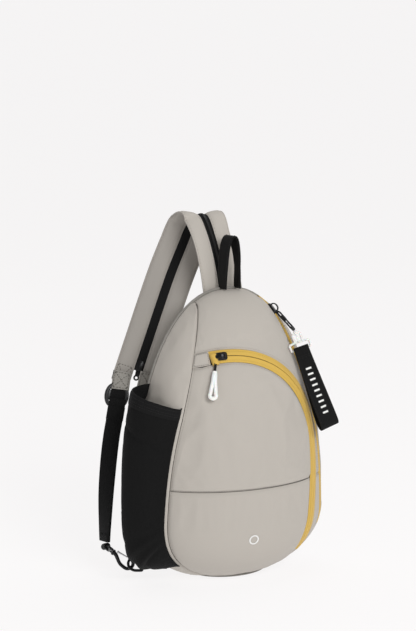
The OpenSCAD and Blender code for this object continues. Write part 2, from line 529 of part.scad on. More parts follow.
module hook_gate() {
    wire(gate_pivot, gate_tip, 0.9);
    translate(gate_pivot) rotate([90, 0, 0]) cylinder(r = 1.3, h = 4, center = true, $fn = 40);
}
// Left hook: eye below the webbing, turned down towards the ring
left_eye_p = [-144, 78.5, 35.5];
left_hook_x = dir(0.777 * hang_side - [0, 0, 0.629]);
left_hook_z = dir(0.629 * hang_side + [0, 0, 0.777]);
right_ring_x = dir([-0.75, 0.5, 0.44]);
right_hook_x = dir([0.87, -0.16, -0.46]);
right_eye_p = right_ring_p + (ring_leg + ring_arc + 0.6) * right_ring_x - hook_bend_x * right_hook_x;
right_hook_z = dir([0.14, 0.98, 0]);
module at_left_hook() place(left_eye_p, left_hook_x, left_hook_z) children();
module at_right_hook() place(right_eye_p, right_hook_x, right_hook_z) children();
left_eye_z = left_hook_z + 0.45 * cross(left_hook_z, left_hook_x);
module at_left_eye() place(left_eye_p, left_hook_x, left_eye_z) children();
module left_web_loop() color(black) at_left_eye() web_loop();
module right_web_loop() color(black) at_right_hook() web_loop();
module left_hook_eye() color(grey) at_left_eye() hook_eye();
module right_hook_eye() color(grey) at_right_hook() hook_eye();
module left_hook_body() color(grey) at_left_hook() hook_body();
module right_hook_body() color(grey) at_right_hook() hook_body();
module left_hook_gate() color(white) at_left_hook() hook_gate();
module right_hook_gate() color(white) at_right_hook() hook_gate();
// D-ring: bar along y at the origin, its arc reaching along +x
module d_ring() {
    wire([0, -ring_arc, 0], [0, ring_arc, 0], ring_wire);
    for (side = [-1, 1]) {
        wire([0, side * ring_arc, 0], [ring_leg, side * ring_arc, 0], ring_wire);
        translate([0, side * ring_arc, 0]) sphere(r = ring_wire, $fn = 40);
    }
    translate([ring_leg, 0, 0]) rotate([0, 0, -90])
        rotate_extrude(angle = 180, $fn = 96) translate([ring_arc, 0]) circle(r = ring_wire, $fn = 40);
}
left_bend = left_eye_p + hook_bend_x * left_hook_x;
left_ring_x = -hang_side;
left_ring_z = dir(cos(ring_tilt) * [0, 0, 1] + sin(ring_tilt) * hang_n);
left_ring_p = left_bend - (ring_leg + ring_arc + 0.6) * left_ring_x;
right_ring_z = dir([0.43, 0.87, -0.25]);
module at_left_ring() place(left_ring_p, left_ring_x, left_ring_z) children();
module at_right_ring() place(right_ring_p, right_ring_x, right_ring_z) children();
module left_ring() color(black) at_left_ring() d_ring();
module right_ring() color(black) at_right_ring() d_ring();
// Webbing tab sewn into the rim, with a sleeve around the ring's bar
tab_w = 14;
module ring_tab(root) {
    rotate([90, 0, 0]) difference() {
        cylinder(r = ring_wire + 2.2, h = tab_w, center = true, $fn = 64);
        cylinder(r = ring_wire + 0.3, h = tab_w + 2, center = true, $fn = 64);
    }
    translate([-root, -tab_w / 2, -1.5]) cube([root - ring_wire - 1, tab_w, 3]);
}
module left_ring_tab() color(black) at_left_ring() ring_tab(22);
module right_ring_tab() color(black) at_right_ring() ring_tab(13);

// ---------- handle and emblem ----------
handle_x = 2;
handle_y = 33;
handle_z = 345.8;
handle_h = 65;
handle_half = 11;
handle_w = 18;
module handle_outline(half, drop) {
    translate([0, handle_h - handle_half]) circle(r = half, $fn = 64);
    translate([-half, -drop]) square([2 * half, handle_h - handle_half + drop]);
}
module grab_handle() color(black) translate([handle_x, handle_y, handle_z]) rotate([90, 0, 0])
    linear_extrude(handle_w, center = true) difference() {
        handle_outline(handle_half, 0);
        handle_outline(handle_half - web_t, 2);
    }
emblem_p = front_pt([-13, 61]);
module emblem() color(white) place(emblem_p + 0.25 * normal_at(emblem_p), [1, 0, 0], normal_at(emblem_p))
    rotate_extrude($fn = 64) translate([4.4, 0]) square([1.8, 0.8]);

base_panel();
front_top_panel();
front_pocket_panel();
lower_front_panel();
lower_side_panel();
left_gusset();
right_gusset();
back_panel();
back_foam();
back_lining();
front_lining();
pocket_lining();
bottle_pocket();
pocket_hem();
arch_zip_upper_tape();
arch_zip_lower_tape();
arch_zip_coil();
zip_end_patch();
zip_garage();
main_zip_front_tape();
main_zip_rear_tape();
main_zip_coil();
emblem();
left_ring_tab();
right_ring_tab();
strap_anchor();
strap_left_half();
strap_right_half();
strap_zip_tape();
strap_zip_coil();
left_webbing();
right_webbing();
left_web_loop();
right_web_loop();
grab_handle();
arch_slider();
arch_pull_cord();
arch_pull_loop();
main_slider();
main_pull_cord();
clip_body();
clip_lever();
fob_strap();
strap_zip_slider();
strap_zip_pull();
left_buckle();
right_buckle();
left_hook_eye();
left_hook_body();
left_hook_gate();
right_hook_eye();
right_hook_body();
right_hook_gate();
left_ring();
right_ring();
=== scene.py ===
import math

import bmesh
import bpy
import numpy as np
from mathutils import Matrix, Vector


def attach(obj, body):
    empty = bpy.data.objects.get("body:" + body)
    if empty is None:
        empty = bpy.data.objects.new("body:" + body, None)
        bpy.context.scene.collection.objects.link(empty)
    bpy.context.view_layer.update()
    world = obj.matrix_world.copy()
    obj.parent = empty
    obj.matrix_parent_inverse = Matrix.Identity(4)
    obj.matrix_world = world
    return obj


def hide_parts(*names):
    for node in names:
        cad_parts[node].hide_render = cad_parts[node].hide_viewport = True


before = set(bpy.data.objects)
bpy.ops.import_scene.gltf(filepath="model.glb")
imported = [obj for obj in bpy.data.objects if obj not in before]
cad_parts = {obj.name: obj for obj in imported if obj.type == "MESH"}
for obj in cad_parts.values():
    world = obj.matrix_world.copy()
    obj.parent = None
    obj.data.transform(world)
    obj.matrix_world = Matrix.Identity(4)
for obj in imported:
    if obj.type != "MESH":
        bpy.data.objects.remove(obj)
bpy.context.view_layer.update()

MM = 0.001
UP = np.array([0.0, 0.0, 1.0])
PHOTO_YAW, PHOTO_TILT = -28.6, 8.64

# ---------------------------------------------------------------- body surface, as in part.scad, in mm
HALF_W, WAIST_Z, RIM_UP, RIM_LOW, BODY_D, RIM_Y = 124.0, 76.0, 270.0, 82.0, 93.0, 39.0
UP_N, LOW_N, SEAM_TAU, SEAM_TOP, ROW_Z, REST_Z = 2.2, 2.0, 0.52, 257.0, 119.0, 2.1
ARCH_CX, ARCH_CZ, ARCH_R, ARCH_LOW_R, ARCH_START = -29.0, 160.0, 115.0, 600.0, 108.4
ARCH_HALF, MAIN_HALF, GAP = 7.5, 5.5, 0.3
TAU_MM = 118  # mm of cloth in front of the rim for one unit of tau
ARCH_LEN = ARCH_R * math.radians(ARCH_START)
ARCH_ROW = ARCH_LEN + ARCH_LOW_R * math.asin((ARCH_CZ - ROW_Z) / ARCH_LOW_R)
ARCH_TOTAL = ARCH_LEN + ARCH_LOW_R * math.asin((ARCH_CZ - 26) / ARCH_LOW_R)


def arr(v):
    return np.asarray(v, float)


def unit(v):
    v = arr(v)
    return v / np.maximum(np.linalg.norm(v, axis=-1, keepdims=True), 1e-9)


def mix(a, b, t):
    return a + (b - a) * t


def clamp(t):
    return np.clip(t, 0.0, 1.0)


def dense(n, ends=0.6):
    """n + 1 shares from 0 to 1, closer together at both ends."""
    t = np.linspace(0, 1, n + 1)
    return (1 - ends) * t + ends * (0.5 - 0.5 * np.cos(np.pi * t))


def n_of(dz):
    return np.where(dz >= 0, UP_N, LOW_N)


def b_of(dz):
    return np.where(dz >= 0, RIM_UP, RIM_LOW)


def radial(x, z):
    """1 on the rim's outline, 0 at its middle."""
    dz = z - WAIST_Z
    n = n_of(dz)
    return ((np.abs(x) / HALF_W) ** n + (np.abs(dz) / b_of(dz)) ** n) ** (1 / n)


def rest(p):
    """Keeps points above the flat underside."""
    p[..., 2] = np.maximum(p[..., 2], REST_Z)
    return p


def front_pt(x, z):
    """Point of the body surface behind (x, z) of the front view."""
    x, z = np.broadcast_arrays(arr(x), arr(z))
    return np.stack([x, RIM_Y - BODY_D * np.sqrt(np.clip(1 - radial(x, z) ** 2, 0, 1)), z], -1)


def rim_r(phi):
    """Rim radius at an angle in degrees up from the right."""
    c, s = np.cos(np.radians(phi)), np.sin(np.radians(phi))
    n = n_of(s)
    return ((np.abs(c) / HALF_W) ** n + (np.abs(s) / b_of(s)) ** n) ** (-1 / n)


def shell_pt(phi, tau):
    """Point of the body surface at a rim angle and a share of the depth in front of the rim."""
    phi, tau = np.broadcast_arrays(arr(phi), arr(tau))
    r = np.sqrt(np.clip(1 - tau ** 2, 0, 1)) * rim_r(phi)
    a = np.radians(phi)
    return np.stack([r * np.cos(a), RIM_Y - BODY_D * tau, WAIST_Z + r * np.sin(a)], -1)


def normal_at(p):
    x, y, z = p[..., 0], p[..., 1], p[..., 2]
    dz = z - WAIST_Z
    n, b = n_of(dz), b_of(dz)
    k = np.maximum((np.abs(x) / HALF_W) ** n + (np.abs(dz) / b) ** n, 1e-9) ** (2 / n - 1)
    return unit(np.stack([k * (np.abs(x) / HALF_W) ** (n - 1) / HALF_W * np.sign(x), (y - RIM_Y) / BODY_D ** 2,
                          k * (np.abs(dz) / b) ** (n - 1) / b * np.sign(dz)], -1))


def flip(p):
    return p * arr([-1, 1, 1])


def side_tau(phi, extra):
    """Depth share of a side seam; it comes forward by extra at the top."""
    h = rim_r(phi) * np.sin(np.radians(phi))
    up = (SEAM_TAU + extra * clamp(h / 150)) * np.sqrt(np.clip(1 - clamp(h / SEAM_TOP) ** 8, 0, 1))
    return np.where(h < 0, SEAM_TAU * (1 - 0.5 * (h / RIM_LOW) ** 2), up)


def seam_tau(phi):
    return side_tau(phi, 0.05)


def zip_tau(phi):
    return np.maximum(side_tau(phi, 0.0), 0.075 * clamp((89 - arr(phi)) / 5))


def zip_open(phi):
    """Half width of the slot for the main zip, closing to a seam past both its ends."""
    return GAP + (MAIN_HALF - GAP) * clamp((85 - arr(phi)) / 2) * clamp((arr(phi) + 14) / 4)


def zip_pt(phi, w=0.0):
    return shell_pt(phi, clamp(zip_tau(phi) + w / TAU_MM))


def left_edge(phi):
    return flip(shell_pt(phi, clamp(seam_tau(phi) + GAP / TAU_MM)))[..., ::2]


def right_edge(phi):
    return zip_pt(phi, zip_open(phi))[..., ::2]


PHIS = np.linspace(-85, 85, 1701)


def phi_for(z, edge=left_edge):
    return np.interp(z, edge(PHIS)[:, 1], PHIS)


def arch(u, off=0.0):
    """(x, z) of the front zip after u mm, off mm outside its centre line."""
    u, off = np.broadcast_arrays(arr(u), arr(off))
    a = np.radians(ARCH_START) - u / ARCH_R
    b = (u - ARCH_LEN) / ARCH_LOW_R
    top = np.stack([ARCH_CX + (ARCH_R + off) * np.cos(a), ARCH_CZ + (ARCH_R + off) * np.sin(a)], -1)
    low = np.stack([ARCH_CX + ARCH_R - ARCH_LOW_R + (ARCH_LOW_R + off) * np.cos(b),
                    ARCH_CZ - (ARCH_LOW_R + off) * np.sin(b)], -1)
    return np.where((u <= ARCH_LEN)[..., None], top, low)


def arch_x(z, off):
    return ARCH_CX + ARCH_R - ARCH_LOW_R + np.sqrt((ARCH_LOW_R + off) ** 2 - (ARCH_CZ - z) ** 2)


# ---------------------------------------------------------------- materials
def new_material(name):
    mat = bpy.data.materials.new(name)
    mat.use_nodes = True
    return mat, mat.node_tree, mat.node_tree.nodes["Principled BSDF"]


def math_node(tree, op, a, b):
    node = tree.nodes.new("ShaderNodeMath")
    node.operation = op
    for socket, value in zip(node.inputs, (a, b)):
        if isinstance(value, (int, float)):
            socket.default_value = value
        else:
            tree.links.new(value, socket)
    return node.outputs[0]


def noise(tree, coord, scale, detail):
    node = tree.nodes.new("ShaderNodeTexNoise")
    node.inputs["Scale"].default_value = scale
    node.inputs["Detail"].default_value = detail
    tree.links.new(coord, node.inputs["Vector"])
    return node.outputs["Fac"]


def bands(tree, coord, axis, pitch):
    """Sine ridges across one texture axis, one ridge per pitch in mm."""
    node = tree.nodes.new("ShaderNodeTexWave")
    node.wave_type, node.bands_direction, node.wave_profile = "BANDS", axis, "SIN"
    node.inputs["Scale"].default_value = 2 * math.pi / (20 * pitch * MM)
    tree.links.new(coord, node.inputs["Vector"])
    return node.outputs["Fac"]


def colour_between(tree, fac, colour, spread, socket):
    """The colour, darker and lighter by a share as fac goes from 0 to 1."""
    node = tree.nodes.new("ShaderNodeMix")
    node.data_type = "RGBA"
    tree.links.new(fac, node.inputs[0])
    node.inputs[6].default_value = (*[c * (1 - spread) for c in colour], 1)
    node.inputs[7].default_value = (*[min(1.0, c * (1 + spread)) for c in colour], 1)
    tree.links.new(node.outputs[2], socket)


def bump(tree, shader, height, depth):
    node = tree.nodes.new("ShaderNodeBump")
    node.inputs["Distance"].default_value = depth * MM
    node.inputs["Strength"].default_value = 1.0
    tree.links.new(height, node.inputs["Height"])
    tree.links.new(node.outputs[0], shader.inputs["Normal"])


def settings(shader, **values):
    for name, value in values.items():
        shader.inputs[name.replace("_", " ")].default_value = value


def cloth_material(name, colour, warp=0.9, weft=0.9, contrast=0.1, rough=0.82, sheen=0.25, depth=0.12, patchy=0.06):
    """Woven cloth: two crossing sets of threads in UV space, slight patches and fuzz."""
    mat, tree, shader = new_material(name)
    coords = tree.nodes.new("ShaderNodeTexCoord").outputs
    obj, uv = coords["Object"], coords["UV"]
    threads = math_node(tree, "MULTIPLY", bands(tree, uv, "X", warp), bands(tree, uv, "Y", weft))
    fuzz = noise(tree, obj, 900, 2)
    patches = noise(tree, obj, 28, 3)
    grain = math_node(tree, "ADD", math_node(tree, "MULTIPLY", threads, 1 - patchy * 4),
                      math_node(tree, "MULTIPLY", patches, patchy * 4))
    colour_between(tree, grain, colour, contrast, shader.inputs["Base Color"])
    gloss = math_node(tree, "ADD", math_node(tree, "MULTIPLY", fuzz, 0.16), rough - 0.08)
    tree.links.new(gloss, shader.inputs["Roughness"])
    settings(shader, Sheen_Weight=sheen, Sheen_Roughness=0.45, Specular_IOR_Level=0.2)
    bump(tree, shader, math_node(tree, "ADD", threads, math_node(tree, "MULTIPLY", fuzz, 0.5)), depth)
    return mat


def thread_material(name, colour, contrast=0.2, rough=0.7, sheen=0.1):
    return cloth_material(name, colour, 0.5, 0.5, contrast, rough, sheen, 0.05)


def hard_material(name, colour, metallic=0.0, rough=0.35, grain=400, coat=0.0, depth=0.02, sub=0.0):
    """Moulded or plated surface with fine grain and uneven gloss."""
    mat, tree, shader = new_material(name)
    obj = tree.nodes.new("ShaderNodeTexCoord").outputs["Object"]
    fine, wide = noise(tree, obj, grain, 4), noise(tree, obj, 60, 2)
    colour_between(tree, wide, colour, 0.08, shader.inputs["Base Color"])
    gloss = math_node(tree, "ADD", math_node(tree, "MULTIPLY", fine, 0.2), rough - 0.1)
    tree.links.new(gloss, shader.inputs["Roughness"])
    settings(shader, Metallic=metallic, Coat_Weight=coat, Subsurface_Weight=sub, Subsurface_Scale=0.002)
    bump(tree, shader, fine, depth)
    return mat


TAUPE = cloth_material("taupe_weave", (0.50, 0.465, 0.42), 0.8, 0.8, 0.05, 0.85, 0.12, 0.06, 0.02)
# Taupe darkened with painted shade, for the strap's inner face towards the body.
STRAP_PAINTED_SHADE = cloth_material("taupe_strap_painted_shade", (0.38, 0.355, 0.325), 1.0, 1.0, 0.06, 0.86, 0.1, 0.08, 0.03)
TAUPE_IN = cloth_material("taupe_inner_mesh", (0.30, 0.285, 0.26), 1.4, 1.4, 0.12, 0.88, 0.15, 0.15)
YELLOW = cloth_material("yellow_tape_weave", (0.69, 0.455, 0.095), 0.7, 1.6, 0.07, 0.7, 0.2, 0.1, 0.03)
BLACK_KNIT = cloth_material("black_stretch_knit", (0.003, 0.003, 0.0031), 1.1, 1.8, 0.3, 0.8, 0.015, 0.15)
BLACK_WEB = cloth_material("black_webbing_rib", (0.004, 0.004, 0.0042), 1.8, 0.9, 0.35, 0.72, 0.03, 0.25)
LINING = cloth_material("grey_lining_weave", (0.045, 0.045, 0.047), 0.8, 0.8, 0.15)
THREAD = thread_material("taupe_thread", (0.40, 0.37, 0.33))
STRAP_END_CLOTH = cloth_material("taupe_strap_end", (0.40, 0.38, 0.345), 1.6, 1.6, 0.5, 0.86, 0.1, 0.3, 0.08)
THREAD_DARK = thread_material("dark_thread", (0.10, 0.095, 0.085))
THREAD_YELLOW = thread_material("yellow_thread", (0.55, 0.36, 0.08))
THREAD_BLACK = thread_material("black_thread", (0.02, 0.02, 0.02), rough=0.6)
CORD_BLACK = cloth_material("black_braid", (0.01, 0.01, 0.011), 1.2, 1.2, 0.4, 0.65, 0.1, 0.3)
COIL = hard_material("dark_coil", (0.09, 0.06, 0.02), 0.0, 0.45)
COIL_BLACK = hard_material("black_coil", (0.012, 0.012, 0.012), 0.0, 0.4)
BLACK_METAL = hard_material("black_plate", (0.02, 0.02, 0.021), 0.85, 0.36, 700, 0.1)
STEEL = hard_material("satin_steel", (0.55, 0.55, 0.56), 1.0, 0.32, 900)
WHITE = hard_material("white_moulding", (0.84, 0.84, 0.82), 0.0, 0.4, 300, 0.15, 0.02, 0.15)
PRINT = hard_material("white_print", (0.82, 0.82, 0.80), 0.0, 0.6, 500)
BLACK_PLASTIC = hard_material("black_acetal", (0.014, 0.014, 0.015), 0.0, 0.42, 500)


# ---------------------------------------------------------------- mesh helpers
def mesh_object(name, verts, faces):
    """Plain object from points in mm."""
    mesh = bpy.data.meshes.new(name)
    mesh.from_pydata([tuple(p) for p in np.asarray(verts) * MM], [], [tuple(int(i) for i in f) for f in faces])
    o = bpy.data.objects.new(name, mesh)
    bpy.context.scene.collection.objects.link(o)
    return o


def add(name, shape, mat, nodes="", body="bag"):
    """One piece from (points in mm, faces, one uv pair in mm per face corner), in place of CAD nodes."""
    verts, faces, uv = shape
    o = mesh_object(name, verts, faces)
    mesh = o.data
    mesh.uv_layers.new(name="uv").data.foreach_set("uv", (np.asarray(uv, float) * MM).ravel())
    mesh.materials.append(mat)
    form = bmesh.new()
    form.from_mesh(mesh)
    bmesh.ops.recalc_face_normals(form, faces=form.faces)
    form.to_mesh(mesh)
    form.free()
    mesh.update()
    mesh.polygons.foreach_set("use_smooth", [True] * len(mesh.polygons))
    mesh.set_sharp_from_angle(angle=math.radians(50))
    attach(o, body)
    if nodes:
        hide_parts(*nodes.split())
    return o


def joined(parts):
    """Several (verts, faces, uv) as one."""
    verts, faces, uv, base = [], [], [], 0
    for v, f, u in parts:
        verts.append(np.asarray(v).reshape(-1, 3))
        faces += [tuple(i + base for i in face) for face in f]
        uv.append(np.asarray(u, float).reshape(-1, 2))
        base += len(verts[-1])
    return np.concatenate(verts), faces, np.concatenate(uv)


def lengths(points, axis):
    """Running length in mm along one axis of a grid of points."""
    step = np.linalg.norm(np.diff(points, axis=axis), axis=-1)
    pad = [(0, 0)] * step.ndim
    pad[axis] = (1, 0)
    return np.cumsum(np.pad(step, pad), axis=axis)


def run_length(points):
    return lengths(arr(points)[None], 1)[0]


def at_lengths(values, where, s):
    """Each column of values, given at lengths s, read at other lengths."""
    return np.stack([np.interp(where, s, values[:, i]) for i in range(values.shape[1])], -1)


def grid_normals(p):
    return unit(np.cross(np.gradient(p, axis=1), np.gradient(p, axis=0)))


def shell(outer, inner):
    """Closed slab between two equal grids: (verts, faces, uv)."""
    m, n = outer.shape[:2]
    far = m * n
    uv = np.stack([lengths(outer, 1), lengths(outer, 0)], -1).reshape(-1, 2)
    uv = np.concatenate([uv, uv])
    a = (np.arange(m - 1)[:, None] * n + np.arange(n - 1)).ravel()
    top = np.stack([a, a + 1, a + n + 1, a + n], 1)
    ring = np.array([*range(n), *[i * n + n - 1 for i in range(1, m)],
                     *[(m - 1) * n + j for j in range(n - 2, -1, -1)], *[i * n for i in range(m - 2, 0, -1)]])
    after = np.roll(ring, -1)
    faces = np.concatenate([top, top[:, ::-1] + far, np.stack([after, ring, ring + far, after + far], 1)])
    return np.concatenate([outer.reshape(-1, 3), inner.reshape(-1, 3)]), faces, uv[faces.ravel()]


def sweep(rings, cyclic=False):
    """Closed or open bar through rings of points: (verts, faces, uv)."""
    rings = arr(rings)
    m, n = rings.shape[:2]
    around = np.linalg.norm(np.roll(rings, -1, 1) - rings, axis=-1).mean(0)
    u = np.concatenate([[0], np.cumsum(around)])
    step = np.linalg.norm(np.roll(rings, -1, 0) - rings, axis=-1).mean(1)
    v = np.concatenate([[0], np.cumsum(step)])
    faces, uv = [], []
    for i in range(m if cyclic else m - 1):
        for j in range(n):
            k, l = (j + 1) % n, (i + 1) % m
            faces.append((i * n + k, i * n + j, l * n + j, l * n + k))
            uv += [(u[j + 1], v[i]), (u[j], v[i]), (u[j], v[i + 1]), (u[j + 1], v[i + 1])]
    if not cyclic:
        for start, order in ((0, range(n)), ((m - 1) * n, range(n - 1, -1, -1))):
            faces.append(tuple(start + j for j in order))
            uv += [(0, 0)] * n
    return rings.reshape(-1, 3), faces, uv


def section_rings(p, w, n, section):
    """Rings of a section of (width, normal) pairs, one section or one per point."""
    s = np.broadcast_to(arr(section), (len(p), *arr(section).shape[-2:]))
    return p[:, None] + s[..., :1] * w[:, None] + s[..., 1:] * n[:, None]


def path_frames(points, guide, cyclic=False):
    """Point, tangent, width and face normal along a path, the width kept near guide."""
    p = arr(points)
    t = unit(np.roll(p, -1, 0) - np.roll(p, 1, 0) if cyclic else np.gradient(p, axis=0))
    g = np.broadcast_to(arr(guide), p.shape)
    w = unit(g - (g * t).sum(-1, keepdims=True) * t)
    return p, t, w, np.cross(w, t)


def bar(points, guide, section, cyclic=False):
    p, _, w, n = path_frames(points, guide, cyclic)
    return sweep(section_rings(p, w, n, section), cyclic)


def circle(r, n=16, squash=1.0):
    a = np.arange(n) * 2 * np.pi / n
    return np.stack([r * np.cos(a), r * squash * np.sin(a)], -1)


def circles(radii, n=16, squash=1.0):
    return arr([circle(r, n, squash) for r in radii])


def rounded(half_w, half_t, n=5, edge=None):
    """Flat section with rounded edges."""
    e = min(half_t, half_w) if edge is None else edge
    x, y = half_w - e, half_t - e
    return arr([(cx + e * math.cos(a), cy + e * math.sin(a))
                for cx, cy, a0 in ((x, y, 0), (-x, y, 90), (-x, -y, 180), (x, -y, 270))
                for a in np.radians(np.linspace(a0, a0 + 90, n))])


def spline(a, b, c, d, t):
    """Catmull-Rom value a share t of the way from b to c."""
    return 0.5 * (2 * b + (c - a) * t + (2 * a - 5 * b + 4 * c - d) * t ** 2 + (3 * b - a - 3 * c + d) * t ** 3)


def smooth_path(points, n, cyclic=False):
    """n points on a Catmull-Rom curve through points, evenly spaced."""
    q = arr(points)
    k = len(q)
    u = np.linspace(0, k if cyclic else k - 1, 12 * k + 1)
    i = np.floor(u).astype(int)
    if not cyclic:
        i = np.minimum(i, k - 2)
    pick = (lambda j: q[j % k]) if cyclic else (lambda j: q[np.clip(j, 0, k - 1)])
    return resample(spline(pick(i - 1), pick(i), pick(i + 1), pick(i + 2), (u - i)[:, None]), n, cyclic)


def resample(points, n, cyclic=False):
    p = arr(points)
    s = run_length(p)
    return at_lengths(p, np.linspace(0, s[-1], n + 1)[:-1] if cyclic else np.linspace(0, s[-1], n), s)


# Shares of one stitch along its length, how far each dips into the cloth and how thick it is there
STITCH_AT, STITCH_DIP = arr([-0.5, -0.3, 0, 0.3, 0.5]), arr([-0.3, 0.1, 0.16, 0.1, -0.3])
STITCH_FAT, STITCH_UP = arr([0.5, 0.95, 1, 0.95, 0.5]), 0.12


def stitch_parts(points, normals, length=2.3, pitch=3.4, radius=0.26):
    """Stitches along a line: little tapered bars whose ends dip into the cloth."""
    p = arr(points)
    s = run_length(p)
    nrm = np.broadcast_to(arr(normals), p.shape)
    count = max(1, int(s[-1] / pitch))
    ring = circle(radius, 6)
    parts = []
    for c in (np.arange(count) + 0.5) * s[-1] / count:
        q = c + STITCH_AT * length
        n = unit(at_lengths(nrm, q, s))
        mid = at_lengths(p, q, s) + (STITCH_UP + STITCH_DIP)[:, None] * n
        side = unit(np.cross(n, unit(mid[-1] - mid[0])))
        around = ring[:, :1] * side[:, None] + ring[:, 1:] * n[:, None]
        parts.append(sweep(mid[:, None] + STITCH_FAT[:, None, None] * around))
    return joined(parts)


def stitches(name, lines, mat, body="bag", **kw):
    return add(name, joined([stitch_parts(p, n, **kw) for p, n in lines]), mat, body=body)


# ---------------------------------------------------------------- sewn panels
PANELS = {}


def edge_distance(p):
    across, down = lengths(p, 1), lengths(p, 0)
    return np.minimum.reduce([across, across[:, -1:] - across, down, down[-1:] - down])


def remember(name, p, d, mat=TAUPE, nodes=None, thick=1.3, swell=0.004, push=1.5, cap=3.0, ring=False):
    """Keeps one sewn panel for the cloth run: a grid of points and how far each is from a seam."""
    PANELS[name] = dict(rest=p, now=p.copy(), d=d, mat=mat, nodes=nodes or name, thick=thick, swell=swell, push=push,
                        cap=cap, ring=ring)


def panel(name, points, normals, puff=0.9, **kw):
    """One sewn panel, slightly domed, with its edges turned in."""
    d = edge_distance(points)
    off = puff * (1 - np.exp(-d / 7)) - 1.3 * np.exp(-d / 1.1)
    remember(name, rest(points + off[..., None] * normals), d, **kw)


def front_panel(name, xz, **kw):
    p = front_pt(xz[..., 0], xz[..., 1])
    n = normal_at(p)
    panel(name, rest(p), n, **kw)


def ruled(a, b, t):
    """Grid of straight lines, one from each point of a to that of b."""
    return a[:, None] + (b - a)[:, None] * t[None, :, None]


# Top panel, from the arch zip to the rim
lo = phi_for(arch(0, ARCH_HALF)[1]) + 1
s, t = dense(130, 0.3), dense(26, 0.5)
edge = np.where((s < 0.25)[:, None], left_edge(mix(lo, 90, s * 4)),
                right_edge(mix(90, phi_for(ROW_Z, right_edge), (s - 0.25) / 0.75)))
low = arch(s * ARCH_ROW, ARCH_HALF)
low[0, 0] = max(low[0, 0], left_edge(lo - 1)[0])
front_panel("front_top_panel", ruled(low, edge, t), cap=2.4)

# Pocket panel under the arch
lo, hi = phi_for(ROW_Z), phi_for(arch(0, -ARCH_HALF)[1])
left, top_left = left_edge(lo), left_edge(hi)
s, t = dense(70, 0.4) * 0.985, dense(44, 0.4)
top = arch(s * ARCH_ROW, -ARCH_HALF)
top[0] = top_left
foot = np.stack([mix(left[0], arch(ARCH_ROW, -ARCH_HALF)[0], s), np.full(len(s), ROW_Z)], -1)
lean = left_edge(mix(lo, hi, t)) - (left + (top_left - left) * t[:, None])
front_panel("front_pocket_panel", ruled(foot, top, t) + (1 - s)[:, None, None] * lean[None], cap=3.2, push=1.8)

# Lower front panel and the narrow one beside the zip
s, t = dense(56, 0.4), dense(40, 0.4)
a = left_edge(mix(phi_for(ROW_Z - 0.6), -86, t))
b = np.stack([np.minimum(arch_x(a[:, 1], -ARCH_HALF), -a[:, 0]), a[:, 1]], -1)
front_panel("lower_front_panel", ruled(a, b, s), cap=2.6)
s, t = dense(12, 0.4), dense(46, 0.4)
b = right_edge(mix(phi_for(ROW_Z - 0.6, right_edge), -42, t))
zip_side = mix(ARCH_HALF, -ARCH_HALF, clamp((30 - b[:, 1]) / 4))
a = np.stack([np.minimum(arch_x(b[:, 1], zip_side), b[:, 0] - 0.5), b[:, 1]], -1)
front_panel("lower_side_panel", ruled(a, b, s), puff=0.5, cap=1.2)

# Side gussets
s, t = dense(120, 0.2), dense(24, 0.5)
for name, top_phi, puff in (("left_gusset", 80.2, 2.6), ("right_gusset", 88, 1.8)):
    phi = mix(-89, top_phi, s)
    left_side = name == "left_gusset"
    end = seam_tau(phi) - GAP / TAU_MM if left_side else zip_tau(phi) - zip_open(phi) / TAU_MM
    p = shell_pt(phi[:, None], np.maximum(end, 0.008)[:, None] * t[None])
    n = normal_at(p)
    if left_side:
        p, n = flip(p), flip(n)
    panel(name, rest(p), n, puff=puff, cap=4.5, push=2.2)


# Padded back: rings from the rim to the middle, one long seam around it
def back_y(r):
    """Depth of the padded back at a share of the rim's radius."""
    return RIM_Y + GAP + 1 + 9 * np.sqrt(np.clip(1 - r ** 5, 0, 1))


def wrapped(phi):
    return np.where(phi > 180, phi - 360, phi)


BACK_SEAM = 17
back_r = (1 - 0.995 * (np.linspace(0, 1, 34) ** 1.4))[None]
phi = wrapped(np.linspace(0, 360, 145))[:, None]
q, a = rim_r(phi) * back_r, np.radians(phi)
p = np.stack(np.broadcast_arrays(q * np.cos(a), back_y(back_r), np.maximum(REST_Z, WAIST_Z + q * np.sin(a))), -1)
d = (1 - back_r) * rim_r(phi)
p[..., 1] -= 2.2 * np.exp(-((d - BACK_SEAM) / 2.2) ** 2)
remember("back_panel", p, np.minimum(d, np.abs(d - BACK_SEAM)), TAUPE_IN, "back_panel back_foam", thick=1.2, push=2.0,
         cap=4.0, ring=True)


# Bottle pocket of stretch cloth, and its hem
def pocket_pt(v, h, off):
    """Point of the pocket at shares v across it and h up it, off mm outside it."""
    top = mix(57.6, phi_for(214), v ** 0.38) - 2.3 * np.sqrt(np.clip(np.sin(np.pi * v), 0, 1))
    phi = mix(-34.0, top, h)
    tau = mix(0.02, seam_tau(phi) - 0.02, v)
    p = shell_pt(phi, tau)
    w = np.clip(np.sin(np.radians(180 * v ** 0.6)), 0, None)
    reach = 149.0 - rim_r(phi) * np.cos(np.radians(phi))
    b = 0.4 + reach * w ** 0.8 * (1 - 0.3 * h ** 6) * (1 - (1 - h) ** 7)
    return flip(rest(p + (b + off)[..., None] * unit(normal_at(p) * arr([1, 0.6, 0.3]))))


HEM = 1 - 11 / 320
